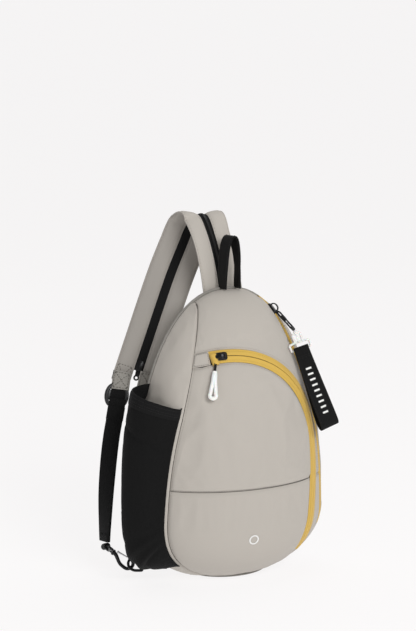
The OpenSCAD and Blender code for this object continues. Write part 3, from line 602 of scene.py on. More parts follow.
# Folds of the pocket: depth in mm, height, slope and width as shares
FOLDS = ((2.0, 0.10, 0.30, 0.020), (-1.6, 0.145, 0.26, 0.022), (1.5, 0.19, 0.22, 0.024),
         (-1.2, 0.24, 0.16, 0.025), (0.9, 0.30, 0.10, 0.03), (0.7, 0.86, -0.08, 0.02))
grid_h, grid_v = np.meshgrid(dense(84, 0.1) * (HEM - 0.003), dense(52, 0.3), indexing="ij")
p = pocket_pt(grid_v, grid_h, np.full(grid_v.shape, 1.2))
folds = sum(k * np.exp(-(((grid_h - c) - m * (grid_v - 0.5)) / w) ** 2) for k, c, m, w in FOLDS)
p = p - (folds * np.sin(np.pi * grid_v) ** 0.7)[..., None] * grid_normals(p)
remember("bottle_pocket", p, edge_distance(p), BLACK_KNIT, thick=1.0, swell=0.006, push=0.6, cap=2.5)

# ---------------------------------------------------------------- cloth run
PIN_DISTANCE, CLOTH_FRAMES = 3.2, 20


def cloth_object(name, item):
    """Quads of one panel with cloth settings, held near its seams; the last row of a ring is its first."""
    ring = item["ring"]
    kept = slice(0, -1 if ring else None)
    p, d = item["rest"][kept], item["d"][kept]
    rows, n = p.shape[:2]
    i = np.arange(rows if ring else rows - 1)
    a = (i[:, None] * n + np.arange(n - 1)).ravel()
    b = (((i + 1) % rows)[:, None] * n + np.arange(n - 1)).ravel()
    o = mesh_object("cloth_" + name, p.reshape(-1, 3), np.stack([a, a + 1, b + 1, b], 1))
    pins = o.vertex_groups.new(name="pin")
    pins.add([int(k) for k in np.flatnonzero(d.ravel() < PIN_DISTANCE)], 1.0, "REPLACE")
    cloth = o.modifiers.new("cloth", "CLOTH")
    values = dict(quality=4, mass=0.15, tension_stiffness=12, compression_stiffness=12, shear_stiffness=4,
                  bending_stiffness=0.6, air_damping=2, vertex_group_mass="pin", shrink_min=-item["swell"],
                  use_pressure=True, uniform_pressure_force=item["push"])
    for key, value in values.items():
        setattr(cloth.settings, key, value)
    cloth.settings.effector_weights.gravity = 0.0
    cloth.collision_settings.use_collision = False
    return o


def run_cloth():
    """Steps every panel together, then keeps a capped share of how far each point moved."""
    made = {name: cloth_object(name, item) for name, item in PANELS.items()}
    scene = bpy.context.scene
    for f in range(1, CLOTH_FRAMES + 1):
        scene.frame_set(f)
    graph = bpy.context.evaluated_depsgraph_get()
    for name, o in made.items():
        item = PANELS[name]
        mesh = o.evaluated_get(graph).data
        co = np.empty(len(mesh.vertices) * 3)
        mesh.vertices.foreach_get("co", co)
        q = co.reshape(-1, item["rest"].shape[1], 3) / MM
        if item["ring"]:
            q = np.concatenate([q, q[:1]])
        move = q - item["rest"]
        far = np.linalg.norm(move, axis=-1, keepdims=True)
        item["now"] = rest(item["rest"] + move * np.tanh(far / item["cap"]) * item["cap"] / np.maximum(far, 1e-6))
        print("cloth", name, "moved at most", round(float(far.max()), 2), "mm")
        bpy.data.objects.remove(o, do_unlink=True)
    scene.frame_set(1)


run_cloth()

OUT = {}
for name, item in PANELS.items():
    p, thick = item["now"], item["thick"]
    n = grid_normals(p)
    if (n * (item["rest"] - arr([0, 30, 120]))).sum() < 0:
        n = -n
    OUT[name] = (p, n)
    if item["ring"]:
        q = p[:-1].transpose(1, 0, 2)
        shape = sweep(np.concatenate([q[:1] - arr([0, thick, 0]), q]))
    else:
        inner = p - thick * n
        inner[..., 2] = np.maximum(inner[..., 2], REST_Z + thick * 0.6)
        shape = shell(p, inner)
    o = add(name + "_cloth", shape, item["mat"], item["nodes"])


# ---------------------------------------------------------------- lines on the panels, and seams
def edge_line(name, side, dist, lo=0.0, hi=1.0, off=0.0):
    """A line at one distance in mm from an edge of a finished panel, with its normals."""
    p, n = OUT[name]
    if side.startswith("row"):
        p, n = p.transpose(1, 0, 2), n.transpose(1, 0, 2)
    if side.endswith("1"):
        p, n = p[:, ::-1], n[:, ::-1]
    s = lengths(p, 1)
    rows = range(int(lo * len(p)), max(int(hi * len(p)), 2))
    q, m = (arr([at_lengths(v[k], dist, s[k]) for k in rows]) for v in (p, n))
    return q + off * unit(m), unit(m)


stitches("seam_stitches_front", [edge_line(*line) for line in (
    ("front_top_panel", "col0", 2.6), ("front_pocket_panel", "col1", 2.6), ("front_pocket_panel", "row0", 2.6),
    ("lower_front_panel", "col0", 2.6), ("front_top_panel", "col1", 2.6, 0.0, 0.25),
    ("front_top_panel", "col1", 2.6, 0.27, 0.97))], THREAD)
stitches("row_seam_stitches", [edge_line("front_pocket_panel", "col0", 1.7, off=0.1)], THREAD_DARK, pitch=3.0)
stitches("seam_stitches_side", [edge_line(*line) for line in (
    ("right_gusset", "col1", 2.6, 0.3, 0.95), ("lower_side_panel", "col1", 2.4),
    ("lower_side_panel", "row0", 2.2))], THREAD)

# Rim piping around the back, between the gussets and the padded back
phi = wrapped(np.linspace(0, 360, 181)[:-1])
rim = np.stack([rim_r(phi) * np.cos(np.radians(phi)), np.full(len(phi), RIM_Y + 0.9),
                np.maximum(WAIST_Z + rim_r(phi) * np.sin(np.radians(phi)), REST_Z + 1.6)], -1)
add("rim_piping", bar(rim, [0, 1, 0], circle(1.9, 10), cyclic=True), TAUPE_IN)


# ---------------------------------------------------------------- zips
def arch_surface(u, w=0.0):
    """Point of the body surface under the front zip, w mm outside its centre line."""
    return front_pt(*np.moveaxis(arch(u, w), -1, 0))


def tape(name, surface, stations, side, half, node):
    """One half of a zip: rises from under the fabric to a folded lip beside the centre line."""
    profile = arr([(half - 0.2, -0.7), (half - 0.9, -0.35), (half - 2.2, 0.0), (half * 0.5, 0.2), (1.9, 0.5),
                   (0.9, 0.75), (0.45, 0.6), (0.3, 0.1), (0.3, -0.5)])[::side]
    p = surface(stations[:, None], side * profile[None, :, 0])
    n = normal_at(p)
    top = p + profile[None, :, 1:] * n
    add(name, shell(top, top - 0.45 * n), YELLOW, node)


def coil(name, surface, stations, node, pitch=1.5):
    """Coil teeth: one flattened helix below the centre line, on a narrow band."""
    line = surface(stations, np.zeros(len(stations)))
    s = run_length(line)
    turns = int(s[-1] / pitch)
    a = np.arange(turns * 8) * 2 * np.pi / 8
    at = a / (2 * np.pi) * s[-1] / turns
    pos, n = at_lengths(line, at, s), unit(at_lengths(normal_at(line), at, s))
    side = unit(np.cross(n, np.gradient(pos, axis=0)))
    pos = pos + 1.35 * np.cos(a)[:, None] * side + (0.55 * np.sin(a) - 1.0)[:, None] * n
    add(name, bar(pos, n, circle(0.3, 5)), COIL, node)


zip_lines = []
for name, surface, at, half, words in (
        ("arch_zip", arch_surface, np.linspace(15, ARCH_TOTAL, 170), ARCH_HALF, ("upper", "lower")),
        ("main_zip", zip_pt, np.linspace(81, -12.6, 156), MAIN_HALF, ("front", "rear"))):
    for side, word in zip((1, -1), words):
        tape(f"{name}_{word}_cloth", surface, at, side, half, f"{name}_{word}_tape")
    coil(name + "_teeth", surface, at, name + "_coil")
    for w in (half - 2.6, 2.6 - half):
        q = surface(at, np.full(len(at), w))
        zip_lines.append((rest(q + 0.05 * normal_at(q)), normal_at(q)))
stitches("zip_tape_stitches", zip_lines, THREAD_YELLOW, radius=0.2, length=1.9, pitch=2.9)

# Sewn patch over the start of the front zip, from the side seam to the garage
END_U, END_W, END_UP = 14.6, ARCH_HALF + 0.3, 1.9


def end_pt(a, b):
    """Point of the body surface at shares a along the patch and b across it."""
    w = mix(-END_W, END_W, b)
    start, end = arch(0.0, w), arch(END_U, w)
    start[..., 0] = left_edge(phi_for(start[..., 1]))[..., 0] - 0.3
    end[..., 0] = arch(END_U)[0] - 0.6
    q = mix(start, end, a[..., None])
    return front_pt(q[..., 0], q[..., 1])


p = end_pt(*np.broadcast_arrays(dense(16, 0.7)[:, None], dense(16, 0.7)[None]))
n = normal_at(p)
top = p + (END_UP * (1 - np.exp(-edge_distance(p) / 0.8)) - 0.4)[..., None] * n
add("zip_end_cloth", shell(top, p - 0.9 * n), TAUPE, "zip_end_patch")
mx, my = 1.3 / END_U, 1.3 / (2 * END_W)
corners = arr([(mx, my), (1 - mx, my), (1 - mx, 1 - my), (mx, 1 - my), (mx, my)])
end_lines = []
for c, after in zip(corners[:-1], corners[1:]):
    q = end_pt(*(c + (after - c) * np.linspace(0, 1, 6)[:, None]).T)
    end_lines.append((q + (END_UP - 0.45) * normal_at(q), normal_at(q)))
stitches("zip_end_cloth_stitches", end_lines, THREAD_DARK, radius=0.22, length=1.6, pitch=2.4)

a, b = dense(18, 0.5), dense(14, 0.8)
p = arch_surface(mix(14.4, 22.6, a)[:, None], mix(-8.6, 3.6, b)[None])
swell = np.sqrt(np.clip(1 - (2 * a - 1) ** 2, 0, 1))[:, None] * (1 - 0.35 * np.abs(2 * b - 1) ** 6)[None]
add("zip_garage_cloth", shell(p + (0.4 + 5.0 * swell)[..., None] * normal_at(p), p - 0.6 * normal_at(p)), YELLOW,
    "zip_garage")


# ---------------------------------------------------------------- hardware
def axes(x, z):
    """Rows: the direction x squared up to z, the one across, and z."""
    ez = unit(z)
    ex = unit(arr(x) - (arr(x) @ ez) * ez)
    return np.stack([ex, np.cross(ez, ex), ez])


def placed(part, p, x, z):
    """A part built along x and z, moved to p with those directions."""
    return np.asarray(part[0]) @ axes(x, z) + arr(p), part[1], part[2]


def local(p, x, z):
    """Function that turns local (x, y, z) points into the shared frame."""
    m = axes(x, z)
    return lambda q: arr(q) @ m + arr(p)


def in_xy(q):
    return np.column_stack([q, np.zeros(len(q))])


def in_xz(q):
    q = arr(q)
    return np.column_stack([q[:, 0], np.zeros(len(q)), q[:, 1]])


def on_x(*xs):
    return [(x, 0, 0) for x in xs]


def stack_of(outline, middle, levels):
    """Rings of a flat outline, scaled about its middle, one for each (scale, height)."""
    return arr([np.column_stack([middle + (outline - middle) * k, np.full(len(outline), z)]) for k, z in levels])


def plate(outline, z0, z1, bevel=0.35):
    """Flat part with bevelled edges from an outline of (x, y) pairs."""
    q = resample(np.concatenate([outline, outline[:1]]), 32, cyclic=True)
    edge = 1 - bevel / 4
    return sweep(stack_of(q, q.mean(0), ((edge, z0), (1, z0 + bevel), (1, z1 - bevel), (edge, z1)))[:, ::-1])


SLIDER_OUTLINE = arr([(-6, -2.2), (-3.5, -3.8), (3, -4.0), (5.4, -3.4), (6, -2.4), (6, 2.4), (5.4, 3.4), (3, 4.0),
                      (-3.5, 3.8), (-6, 2.2)])


def slider_part(scale=1.0):
    bridge = smooth_path(in_xz([(-4.0, 1.2), (-3.9, 3.4), (-2.4, 5.0), (0, 5.6), (2.4, 5.0), (3.9, 3.4), (4.0, 1.2)]),
                         28)
    rails = [plate(SLIDER_OUTLINE * arr([0.94, 0.2]) + arr([0, side * 3.2]), -0.9, 0.3, 0.2) for side in (-1, 1)]
    v, f, u = joined([plate(SLIDER_OUTLINE, 0.1, 1.5), bar(bridge, [0, 1, 0], rounded(1.7, 0.55)), *rails])
    return v * scale, f, u


yaw = math.radians(PHOTO_YAW)
HANG_N, HANG_SIDE = arr([math.sin(yaw), -math.cos(yaw), 0]), arr([math.cos(yaw), math.sin(yaw), 0])
ARCH_SLIDER_U, MAIN_SLIDER_PHI = 27.0, 78.0
arch_p = arch_surface(ARCH_SLIDER_U)
arch_n = normal_at(arch_p)
arch_dir = unit(arch_surface(ARCH_SLIDER_U + 3) - arch_surface(ARCH_SLIDER_U - 3))
arch_pivot = arch_p + 3.4 * arch_n - 6.5 * arch_dir
foot = front_pt(*(arch(ARCH_SLIDER_U) + arr([-18, -52])))
pull_dir = unit(foot + 4.2 * normal_at(foot) - arch_pivot)
add("arch_slider_metal", placed(slider_part(1.2), arch_p + 0.5 * arch_n, arch_dir, arch_n), BLACK_METAL,
    "arch_slider", "arch_slider")

main_p = zip_pt(MAIN_SLIDER_PHI)
main_n = normal_at(main_p)
main_dir = unit(zip_pt(MAIN_SLIDER_PHI - 1) - zip_pt(MAIN_SLIDER_PHI + 1))
main_pivot = main_p + 3.6 * main_n + 8.2 * main_dir
add("main_slider_metal", placed(slider_part(1.25), main_p + 0.5 * main_n, main_dir, main_n), BLACK_METAL,
    "main_slider", "main_slider")


def cord_piece(name, points, radius, body, nodes, guide):
    """A braided cord looped through a slider and back, as a tube; its length is computed and not used."""
    path = smooth_path(points, 60)
    twist = 1 + 0.06 * np.cos(np.arange(12)[None] * 2 * np.pi / 3 + np.arange(len(path))[:, None] * 1.3)
    o = add(name, bar(path, guide, circle(radius, 12)[None] * twist[..., None]), CORD_BLACK, nodes, body)
    float(run_length(path)[-1]) * MM


# Arch puller: braided cord into a moulded teardrop loop
at = local(arch_pivot, pull_dir, arch_n)
a = np.radians(np.linspace(-122, 122, 30))
tear = np.concatenate([np.stack([28.6 + 3.7 * np.cos(a), 3.7 * np.sin(a)], -1),
                       [(20.5, 2.5), (13, 1.4), (4, 0.8), (4, -0.8), (13, -1.4), (20.5, -2.5)]])
tear = smooth_path(in_xy(tear + arr([17.6, 0])), 90, cyclic=True)
arch_loop = add("arch_loop_moulded", joined([
    bar(at(tear), arch_n, circle(1, 16) * arr([1.6, 2.35]), cyclic=True),
    bar(at(on_x(17.2, 17.8, 20, 26, 31)), arch_n, arr([circle(1, 16) * arr([1.6, r]) for r in (1.9, 2.7, 3.0, 3.0, 2.0)]))
]), WHITE, "arch_pull_loop", "arch_pull")
arch_knot = add("arch_cord_knot", bar(at([(-1.6, 0, 0.2), (-0.6, 0, 0.2), (1.2, 0, 0.1), (2.6, 0, 0)]), arch_n,
                                      circles((0.9, 1.7, 1.8, 1.2), 12)), CORD_BLACK, body="arch_pull")
cord_piece("arch_cord_braid", at([(18.5, -0.8, 0), (12, -0.75, 0.15), (5, -0.85, 0.2), (0.3, -1.0, 0.1), (-1.0, 0, 0),
                                  (0.3, 1.0, 0.1), (5, 0.85, 0.2), (12, 0.75, 0.15), (18.5, 0.8, 0)]), 0.78,
           "arch_pull", "arch_pull_cord", arch_n)

# Main puller: twin cord, swivel clip and folded ribbon
CORD_LEN, CLIP_HALF = 34.0, 12.0
cord_dir = unit(0.7 * HANG_SIDE + 0.8 * HANG_N - 0.7 * UP)
clip_p = main_pivot + CORD_LEN * cord_dir
clip_dir = unit(0.345 * HANG_SIDE + 0.08 * HANG_N - 0.94 * UP)
at = local(clip_p, clip_dir, HANG_N)
swivel = bar(at(on_x(0.3, 0.6, 1.6, 2.2, 3.2, 4.6, 5.4)), HANG_N, circles((1.6, 2.4, 2.7, 2.1, 2.1, 2.7, 2.2), 18))
box = [(4, -2.6), (4.6, -4.4), (8, -4.8), (13.4, -4.8), (14.8, -8), (16, -CLIP_HALF), (22, -CLIP_HALF),
       (23, 1 - CLIP_HALF)]
box = smooth_path(in_xy([*box, (23, 0), *[(x, -y) for x, y in box[::-1]]]), 110, cyclic=True)
cross_bar = bar(at([(14.6, y, 0) for y in np.linspace(-9, 9, 12)]), HANG_N, circle(1.3, 12))
clip = add("swivel_clip_moulded", joined([swivel, bar(at(box), HANG_N, circle(1.45, 12), cyclic=True), cross_bar]),
           WHITE, "clip_body", "main_pull")
lever = at(in_xz([(6.0, 1.7), (6.4, 2.6), (8, 2.9), (11, 2.8), (13.6, 2.5), (14.2, 1.9)]))
add("clip_lever_moulded", bar(lever, HANG_SIDE, [rounded(w, 0.55) for w in (0.7, 1.0, 1.2, 1.2, 1.0, 0.7)]), WHITE,
    "clip_lever", "clip_lever")


def cord_at(x, w=0.0, d=0.0):
    """Point x mm down the main cord, w mm across it and d mm towards the front."""
    return main_pivot + x * cord_dir + w * unit(np.cross(HANG_N, cord_dir)) + d * HANG_N


strand = [(32.5, -0.9, 0), (27, -1.3, 0.6), (18, -1.25, 1.2), (8, -1.5, 0.9), (0.5, -1.3, 0.1), (-1.6, 0, -0.5)]
strand += [(x, -w, d) for x, w, d in strand[-2::-1]]
cord_piece("main_cord_braid", [cord_at(*q) for q in strand], 1.05, "main_pull", "main_pull_cord", HANG_N)
knot = bar([cord_at(x, d=0.4) for x in (6.5, 7.3, 9.5, 12, 13.6, 14.4)], HANG_N,
           circles((1.6, 2.6, 3.1, 3.0, 2.4, 1.5), 14, 0.85))
stop = bar([cord_at(x, d=0.2) for x in (27.5, 28.2, 31, 32.4)], HANG_N, circles((2.2, 2.8, 2.8, 2.1), 14, 0.7))
add("main_cord_knot", knot, CORD_BLACK, body="main_pull")
add("main_cord_stop", stop, BLACK_PLASTIC, body="main_pull")

# Fob: one ribbon folded round the clip's bar, sewn below it and open at its lower fold
fob_at = local(clip_p + 23 * clip_dir, clip_dir, HANG_N)
fob_front = arr([(1.5, 2.3), (6, 1.35), (10, 1.0), (14, 1.1), (30, 1.9), (55, 2.9), (80, 3.7), (93, 3.9)])
fob_fold = [(98, 2.6), (100, 0), (98, -3.4)]
fob_back = [(92, -6.6), (78, -7.2), (58, -5.6), (34, -2.9), (16, -1.3), (10, -1.0), (6, -1.35), (1.5, -2.3)]
ribbon = smooth_path(in_xz([(-2.5, 0), (-1.7, 1.9), *fob_front, *fob_fold, *fob_back, (-1.7, -1.9)]), 150, cyclic=True)


def fob_turn(x, y, z):
    """Local point of the flat fob, twisted a little more the further it hangs down, and curled."""
    x, y, z = np.broadcast_arrays(arr(x), arr(y), arr(z))
    a = np.radians(np.interp(x, [8, 100], [0, -24]))
    curl = 0.0006 * (x - 8) ** 2 * (x > 8)
    return fob_at(np.stack([x, y * np.cos(a) - z * np.sin(a), y * np.sin(a) + z * np.cos(a) + curl], -1))


half = np.interp(ribbon[:, 0], [0, 20, 100], [9.2, 9.8, 12.2])
_, _, w, n = path_frames(ribbon, [0, 1, 0], cyclic=True)
section = rounded(1, 0.75, 4, 0.1)[None] * np.stack([half, 0 * half + 1], -1)[:, None]
add("fob_ribbon", sweep(fob_turn(*np.moveaxis(section_rings(ribbon, w, n, section), -1, 0)), cyclic=True), BLACK_WEB,
    "fob_strap", "fob")


def fob_line(x, y):
    """Points on the front face of the fob."""
    return fob_turn(x, y, np.interp(x, *fob_front.T) + 0.78)


bars = [bar(fob_line(x, np.linspace(-3.4, 3.4, 8)), clip_dir, rounded(1.15, 0.16, 3)) for x in range(25, 82, 7)]
add("fob_print_bars", joined(bars), PRINT, body="fob")
fob_n = fob_at([0, 0, 1]) - fob_at([0, 0, 0])
fob_lines = [(fob_line(x, np.linspace(-8.0, 8.0, 8)), fob_n) for x in (8.4, 10.8)]
fob_lines += [(fob_line(np.linspace(13, 92, 40), side * np.linspace(8.3, 10.6, 40)), fob_n) for side in (-1, 1)]
stitches("fob_stitches", fob_lines, THREAD_BLACK, "fob")

# ---------------------------------------------------------------- bottle pocket hem
v_s = dense(60, 0.3)
gv, gh = np.meshgrid(v_s, np.linspace(HEM - 0.006, 1, 9))
crown = arr([1.2, 1.6, 1.75, 1.6, 1.75, 1.7, 1.75, 1.5, 0.6])
hem = add("pocket_hem_cloth", shell(pocket_pt(gv, gh, 0.6 + crown[:, None] + 0 * gv), pocket_pt(gv, gh, -0.3 + 0 * gv)),
          BLACK_WEB, "pocket_hem")
p = OUT["bottle_pocket"][0]
hem_lines = []
for k in (0.2, 0.42, 0.75):
    q, under = (pocket_pt(v_s, np.full(len(v_s), mix(HEM, 1, k)), np.full(len(v_s), off)) for off in (2.0, 0.0))
    hem_lines.append((q, unit(q - under)))
stitches("pocket_hem_stitches", hem_lines, THREAD_BLACK, length=2.0, pitch=2.8)

# ---------------------------------------------------------------- strap
STRAP_ROUTE = arr([(2.2, 50.6, 339), (-3, 52, 372), (-9, 60, 408), (-12, 77, 431), (-18, 94, 418), (-28, 101, 390),
                   (-42, 103, 357), (-58, 101.5, 319), (-74, 99, 281), (-90, 96.5, 243), (-97, 95.4, 226)])
STRAP_YAW = arr([6, 8, 8, -6, -20, -26, -28] + [PHOTO_YAW] * 4)
LEFT_ROUTE = arr([(-113, 98, 231), (-117, 96, 215), (-121.3, 93.8, 199), (-125.6, 91.6, 183), (-129.9, 89.4, 167),
                  (-135, 86.5, 140), (-140, 83.5, 100), (-143, 80.5, 60), (-144, 79, 42)])
LEFT_YAW = arr([PHOTO_YAW] * 5 + [-38, -56, -76, -84])
RIGHT_ROUTE = arr([(-82, 90, 219), (-86, 89, 203), (-90, 88, 187), (-94, 87, 171), (-98, 86, 155), (-98, 84, 128),
                   (-84, 80, 98), (-54, 75, 74), (-16, 69.5, 56), (17.5, 64.8, 47.5)])
RIGHT_YAW = arr([PHOTO_YAW] * 5 + [-26, -20, -14, -10.5, -10.5])


def along(values, u):
    """Catmull-Rom value of a control list at parameters u."""
    q = arr(values)
    k = len(q) - 1
    i = np.clip(np.floor(u).astype(int), 0, k - 1)
    t = (u - i).reshape(-1, *[1] * (q.ndim - 1))
    return spline(q[np.maximum(i - 1, 0)], q[i], q[np.minimum(i + 1, k)], q[np.minimum(i + 2, k)], t)


def route(points, yaws, u):
    """Frames of a strap route: point, tangent, width direction, face normal."""
    u = np.atleast_1d(arr(u))
    k = len(points) - 1
    t = unit(along(points, np.minimum(u + 0.02, k)) - along(points, np.maximum(u - 0.02, 0)))
    y = np.radians(along(yaws, u))
    w = np.stack([np.cos(y), np.sin(y), 0 * y], -1)
    w = unit(w - (w * t).sum(-1, keepdims=True) * t)
    return along(points, u), t, w, np.cross(w, t)


def ribbon_on(points, yaws, u, section, shift=0.0, raise_n=0.0):
    p, _, w, n = route(points, yaws, u)
    return sweep(section_rings(p, w, n, arr(section) + arr([shift, raise_n])))


def box_cross(i0, i1, half):
    """Rows of a sewn box with a cross in it: eight places along the line and eight mm across for each."""
    c = [(i0, -half), (i0, half), (i1, half), (i1, -half), (i0, -half), (i1, half), (i1, -half), (i0, half)]
    for (ia, qa), (ib, qb) in zip(c[:-1], c[1:]):
        yield np.round(np.linspace(ia, ib, 8)).astype(int), np.linspace(qa, qb, 8)


PAD_Q = arr([-1, -0.97, -0.91, -0.85, -0.79, -0.6, -0.3, 0, 0.3, 0.6, 0.79, 0.85, 0.91, 0.97, 1])
PAD_T = arr([0.35, 1.0, 1.3, 0.95, 1.55, 2.55, 2.95, 3.0, 2.95, 2.55, 1.55, 0.95, 1.3, 1.0, 0.35])
STRAP_HALF, STRAP_IN, STRAP_END = 11.45, 5.4, 10.0
u_s = np.linspace(0, STRAP_END, 200)
p, _, w, n = route(STRAP_ROUTE, STRAP_YAW, u_s)
s_len = run_length(p)
flat_end = clamp((s_len[-1] - s_len) / 24)
fat = 0.42 + 0.58 * np.where(flat_end < 1, flat_end ** 3, 1) + 0.03 * np.sin(s_len / 17) * np.sin(s_len / 5.3 + 1)
thick = np.maximum(PAD_T[None] * fat[:, None], 0.35)
across = np.broadcast_to(PAD_Q * STRAP_HALF, thick.shape)
section = np.concatenate([np.stack([across, thick], -1), np.stack([across[:, ::-1], -thick[:, ::-1]], -1)], 1)
strap_lines, strap_x = [], []
for side, name in ((-1, "strap_left_half"), (1, "strap_right_half")):
    shift = side * (STRAP_IN + STRAP_HALF)
    shape = ribbon_on(STRAP_ROUTE, STRAP_YAW, u_s, section, shift)
    o = add(name + "_padded", shape, TAUPE, name)
    # The strap's inner faces get the taupe darkened with painted shade; the end caps stay plain taupe.
    o.data.materials.append(STRAP_PAINTED_SHADE)
    under = [int(j % 30 >= 15) for j in range(len(shape[1]) - 2)] + [0, 0]
    o.data.polygons.foreach_set("material_index", under)
    for face in (-1, 1):
        for q in (-0.85, 0.85):
            h = np.interp(q, PAD_Q, PAD_T) * fat
            strap_lines.append((p + (shift + q * STRAP_HALF) * w + (face * h)[:, None] * n, face * n))
        for k, q in box_cross(*np.searchsorted(s_len, [s_len[-1] - 21, s_len[-1] - 3]), 8.6):
            h = np.interp(q / STRAP_HALF, PAD_Q, PAD_T) * fat[k]
            strap_x.append((p[k] + (shift + q)[:, None] * w[k] + (face * h)[:, None] * n[k], face * n[k]))
stitches("strap_edge_stitches", strap_lines, THREAD, pitch=4.0)
stitches("strap_box_stitches", strap_x, THREAD_DARK, radius=0.3, pitch=3.0)

SLEEVE_SIDE = [0.878, -0.479, 0]
for name, points in (
        ("strap_left_sleeve", [(-107.2, 103.2, 242.5), (-109.8, 101.6, 235.5), (-112.2, 99.4, 228.5), (-114.2, 97.6, 222)]),
        ("strap_right_sleeve", [(-78.6, 88.9, 241), (-80.6, 88.9, 234), (-82.8, 89.0, 226), (-84.8, 88.9, 219)])):
    line = smooth_path(points, 24)
    add(name, bar(line, SLEEVE_SIDE, rounded(11.0, 3.9, 5)), STRAP_END_CLOTH)
    _, _, w, n = path_frames(line, SLEEVE_SIDE)
    rows = [(line[k] + q[:, None] * w[k] + face * 3.95 * n[k], face * n[k])
            for k, q in box_cross(2, 21, 8.8) for face in (-1, 1)]
    stitches(name + "_stitches", rows, THREAD_DARK, radius=0.3, pitch=3.0)

band = ribbon_on(STRAP_ROUTE, STRAP_YAW, np.linspace(0, STRAP_END - 1, 150), rounded(5.8, 0.55, 3))
add("strap_zip_band", band, BLACK_WEB, "strap_zip_tape")
u_c = np.linspace(0, STRAP_END - 1.05, 2400)
p, _, w, n = route(STRAP_ROUTE, STRAP_YAW, u_c)
a = np.arange(len(u_c)) * 2 * np.pi / 8
teeth = bar(p + (1.4 * np.cos(a))[:, None] * w + (1.35 + 0.5 * np.sin(a))[:, None] * n, n, circle(0.33, 5))
add("strap_zip_teeth", teeth, COIL_BLACK, "strap_zip_coil")

# Slider of the strap zip and its puller
sp, st, sw, sn = (q[0] for q in route(STRAP_ROUTE, STRAP_YAW, [STRAP_END - 1.2]))
slider = placed(joined([slider_part(), plate(SLIDER_OUTLINE * 1.1, -4.6, -3.2)]), sp + 2.5 * sn, st, sn)
add("strap_slider_metal", slider, BLACK_METAL, "strap_zip_slider", "strap_zip_slider")
at = local(sp + 5.2 * sn, st, sn)
yoke = smooth_path(in_xy([(0, -3.1), (2.4, -3.1), (5.4, -2.7), (7.2, 0), (5.4, 2.7), (2.4, 3.1), (0, 3.1)]), 30)
eye = smooth_path(in_xy([(15 + 2.6 * math.cos(k), 2.6 * math.sin(k)) for k in np.arange(12) * math.pi / 6]), 28,
                  cyclic=True)
puller = joined([bar(at(yoke), sn, circle(0.75, 8)), bar(at([(0, -3.4, 0), (0, 0, 0), (0, 3.4, 0)]), sn, circle(0.7, 8)),
                 bar(at(on_x(4.6, 9, 13.2)), sw, [rounded(k, 0.8) for k in (3.4, 3.0, 2.6)]),
                 bar(at(eye), sn, circle(1.05, 8), cyclic=True)])
add("strap_puller_metal", puller, BLACK_METAL, "strap_zip_pull", "strap_zip_pull")

# Anchor patch at the strap's root
x, z = np.meshgrid(mix(-27, 33, dense(20)), mix(312, 333.4, dense(12)), indexing="ij")
p = np.stack([x, back_y(radial(x, z)), z], -1)
swell = 2.6 * (1 - np.exp(-edge_distance(p) / 1.2))
add("strap_anchor_cloth", shell(p + swell[..., None] * arr([0, 1, 0]), p + arr([0, 0.3, 0])), TAUPE_IN, "strap_anchor")

# ---------------------------------------------------------------- webbing
WEB_T = 1.8
LEFT_ROOT = [(-108.6, 104.2, 243), (-110.2, 103.8, 236), (-112, 101, 230), (-114, 97.8, 225), (-115.5, 96.6, 219)]
RIGHT_ROOT = [(-80, 88.5, 231), (-81.6, 88.2, 226), (-83, 88.6, 220), (-84.5, 89.2, 213)]
for name, points, yaws, root, ends in (("left_webbing", LEFT_ROUTE, LEFT_YAW, LEFT_ROOT, 8.0),
                                       ("right_webbing", RIGHT_ROUTE, RIGHT_YAW, RIGHT_ROOT, 9.0)):
    rib = rounded(10, WEB_T / 2, 4)
    under = -WEB_T / 2 - 0.1
    shape = joined([ribbon_on(points, yaws, np.linspace(0.15, ends, 110), rib),
                    bar(smooth_path(root, 24), HANG_SIDE, rib),
                    ribbon_on(points, yaws, np.linspace(1.2, ends, 100), rib, 0, -WEB_T - 0.15),
                    ribbon_on(points, yaws, np.linspace(1.78, 2.75, 14), rounded(10.5, 2.45, 5), 0, under),
                    ribbon_on(points, yaws, np.linspace(ends - 0.62, ends, 10), rounded(10.3, 2.6, 5), 0, under)])
    add(name + "_ribbed", shape, BLACK_WEB, name)
    lines = []
    for u0 in (ends - 0.5, ends - 0.18):
        p, t, w, n = route(points, yaws, [u0])
        for face, h in ((1, 1.65), (-1, 3.5)):
            lines.append((p + np.linspace(-8.6, 8.6, 8)[:, None] * w + face * h * n, face * n[0]))
    stitches(name + "_stitches", lines, THREAD_BLACK)


def buckle_part():
    """Tri-glide in its own frame: x along the webbing, y across; a bowed ring and its middle bar."""
    a = np.radians(np.linspace(-84, 84, 14))
    end = np.stack([12.4 * np.sin(a), 4.8 + 7.6 * np.cos(a)], -1)
    q = np.concatenate([end, -end])
    ring = smooth_path(np.column_stack([q, 2.6 - 0.012 * q[:, 1] ** 2]), 90, cyclic=True)
    y = np.linspace(-11.6, 11.6, 14)
    middle = np.column_stack([0 * y, y, 2.9 - 0.012 * y ** 2])
    return joined([bar(ring, UP, rounded(1.6, 2.4, 4), cyclic=True), bar(middle, [1, 0, 0], rounded(6.2, 1.2, 4))])


for name, points, yaws in (("left_buckle", LEFT_ROUTE, LEFT_YAW), ("right_buckle", RIGHT_ROUTE, RIGHT_YAW)):
    p, t, w, n = (q[0] for q in route(points, yaws, [1.0]))
    add(name + "_moulded", placed(buckle_part(), p - (WEB_T / 2 + 0.1) * n - 2.2 * w, t, n), BLACK_PLASTIC, name, name)

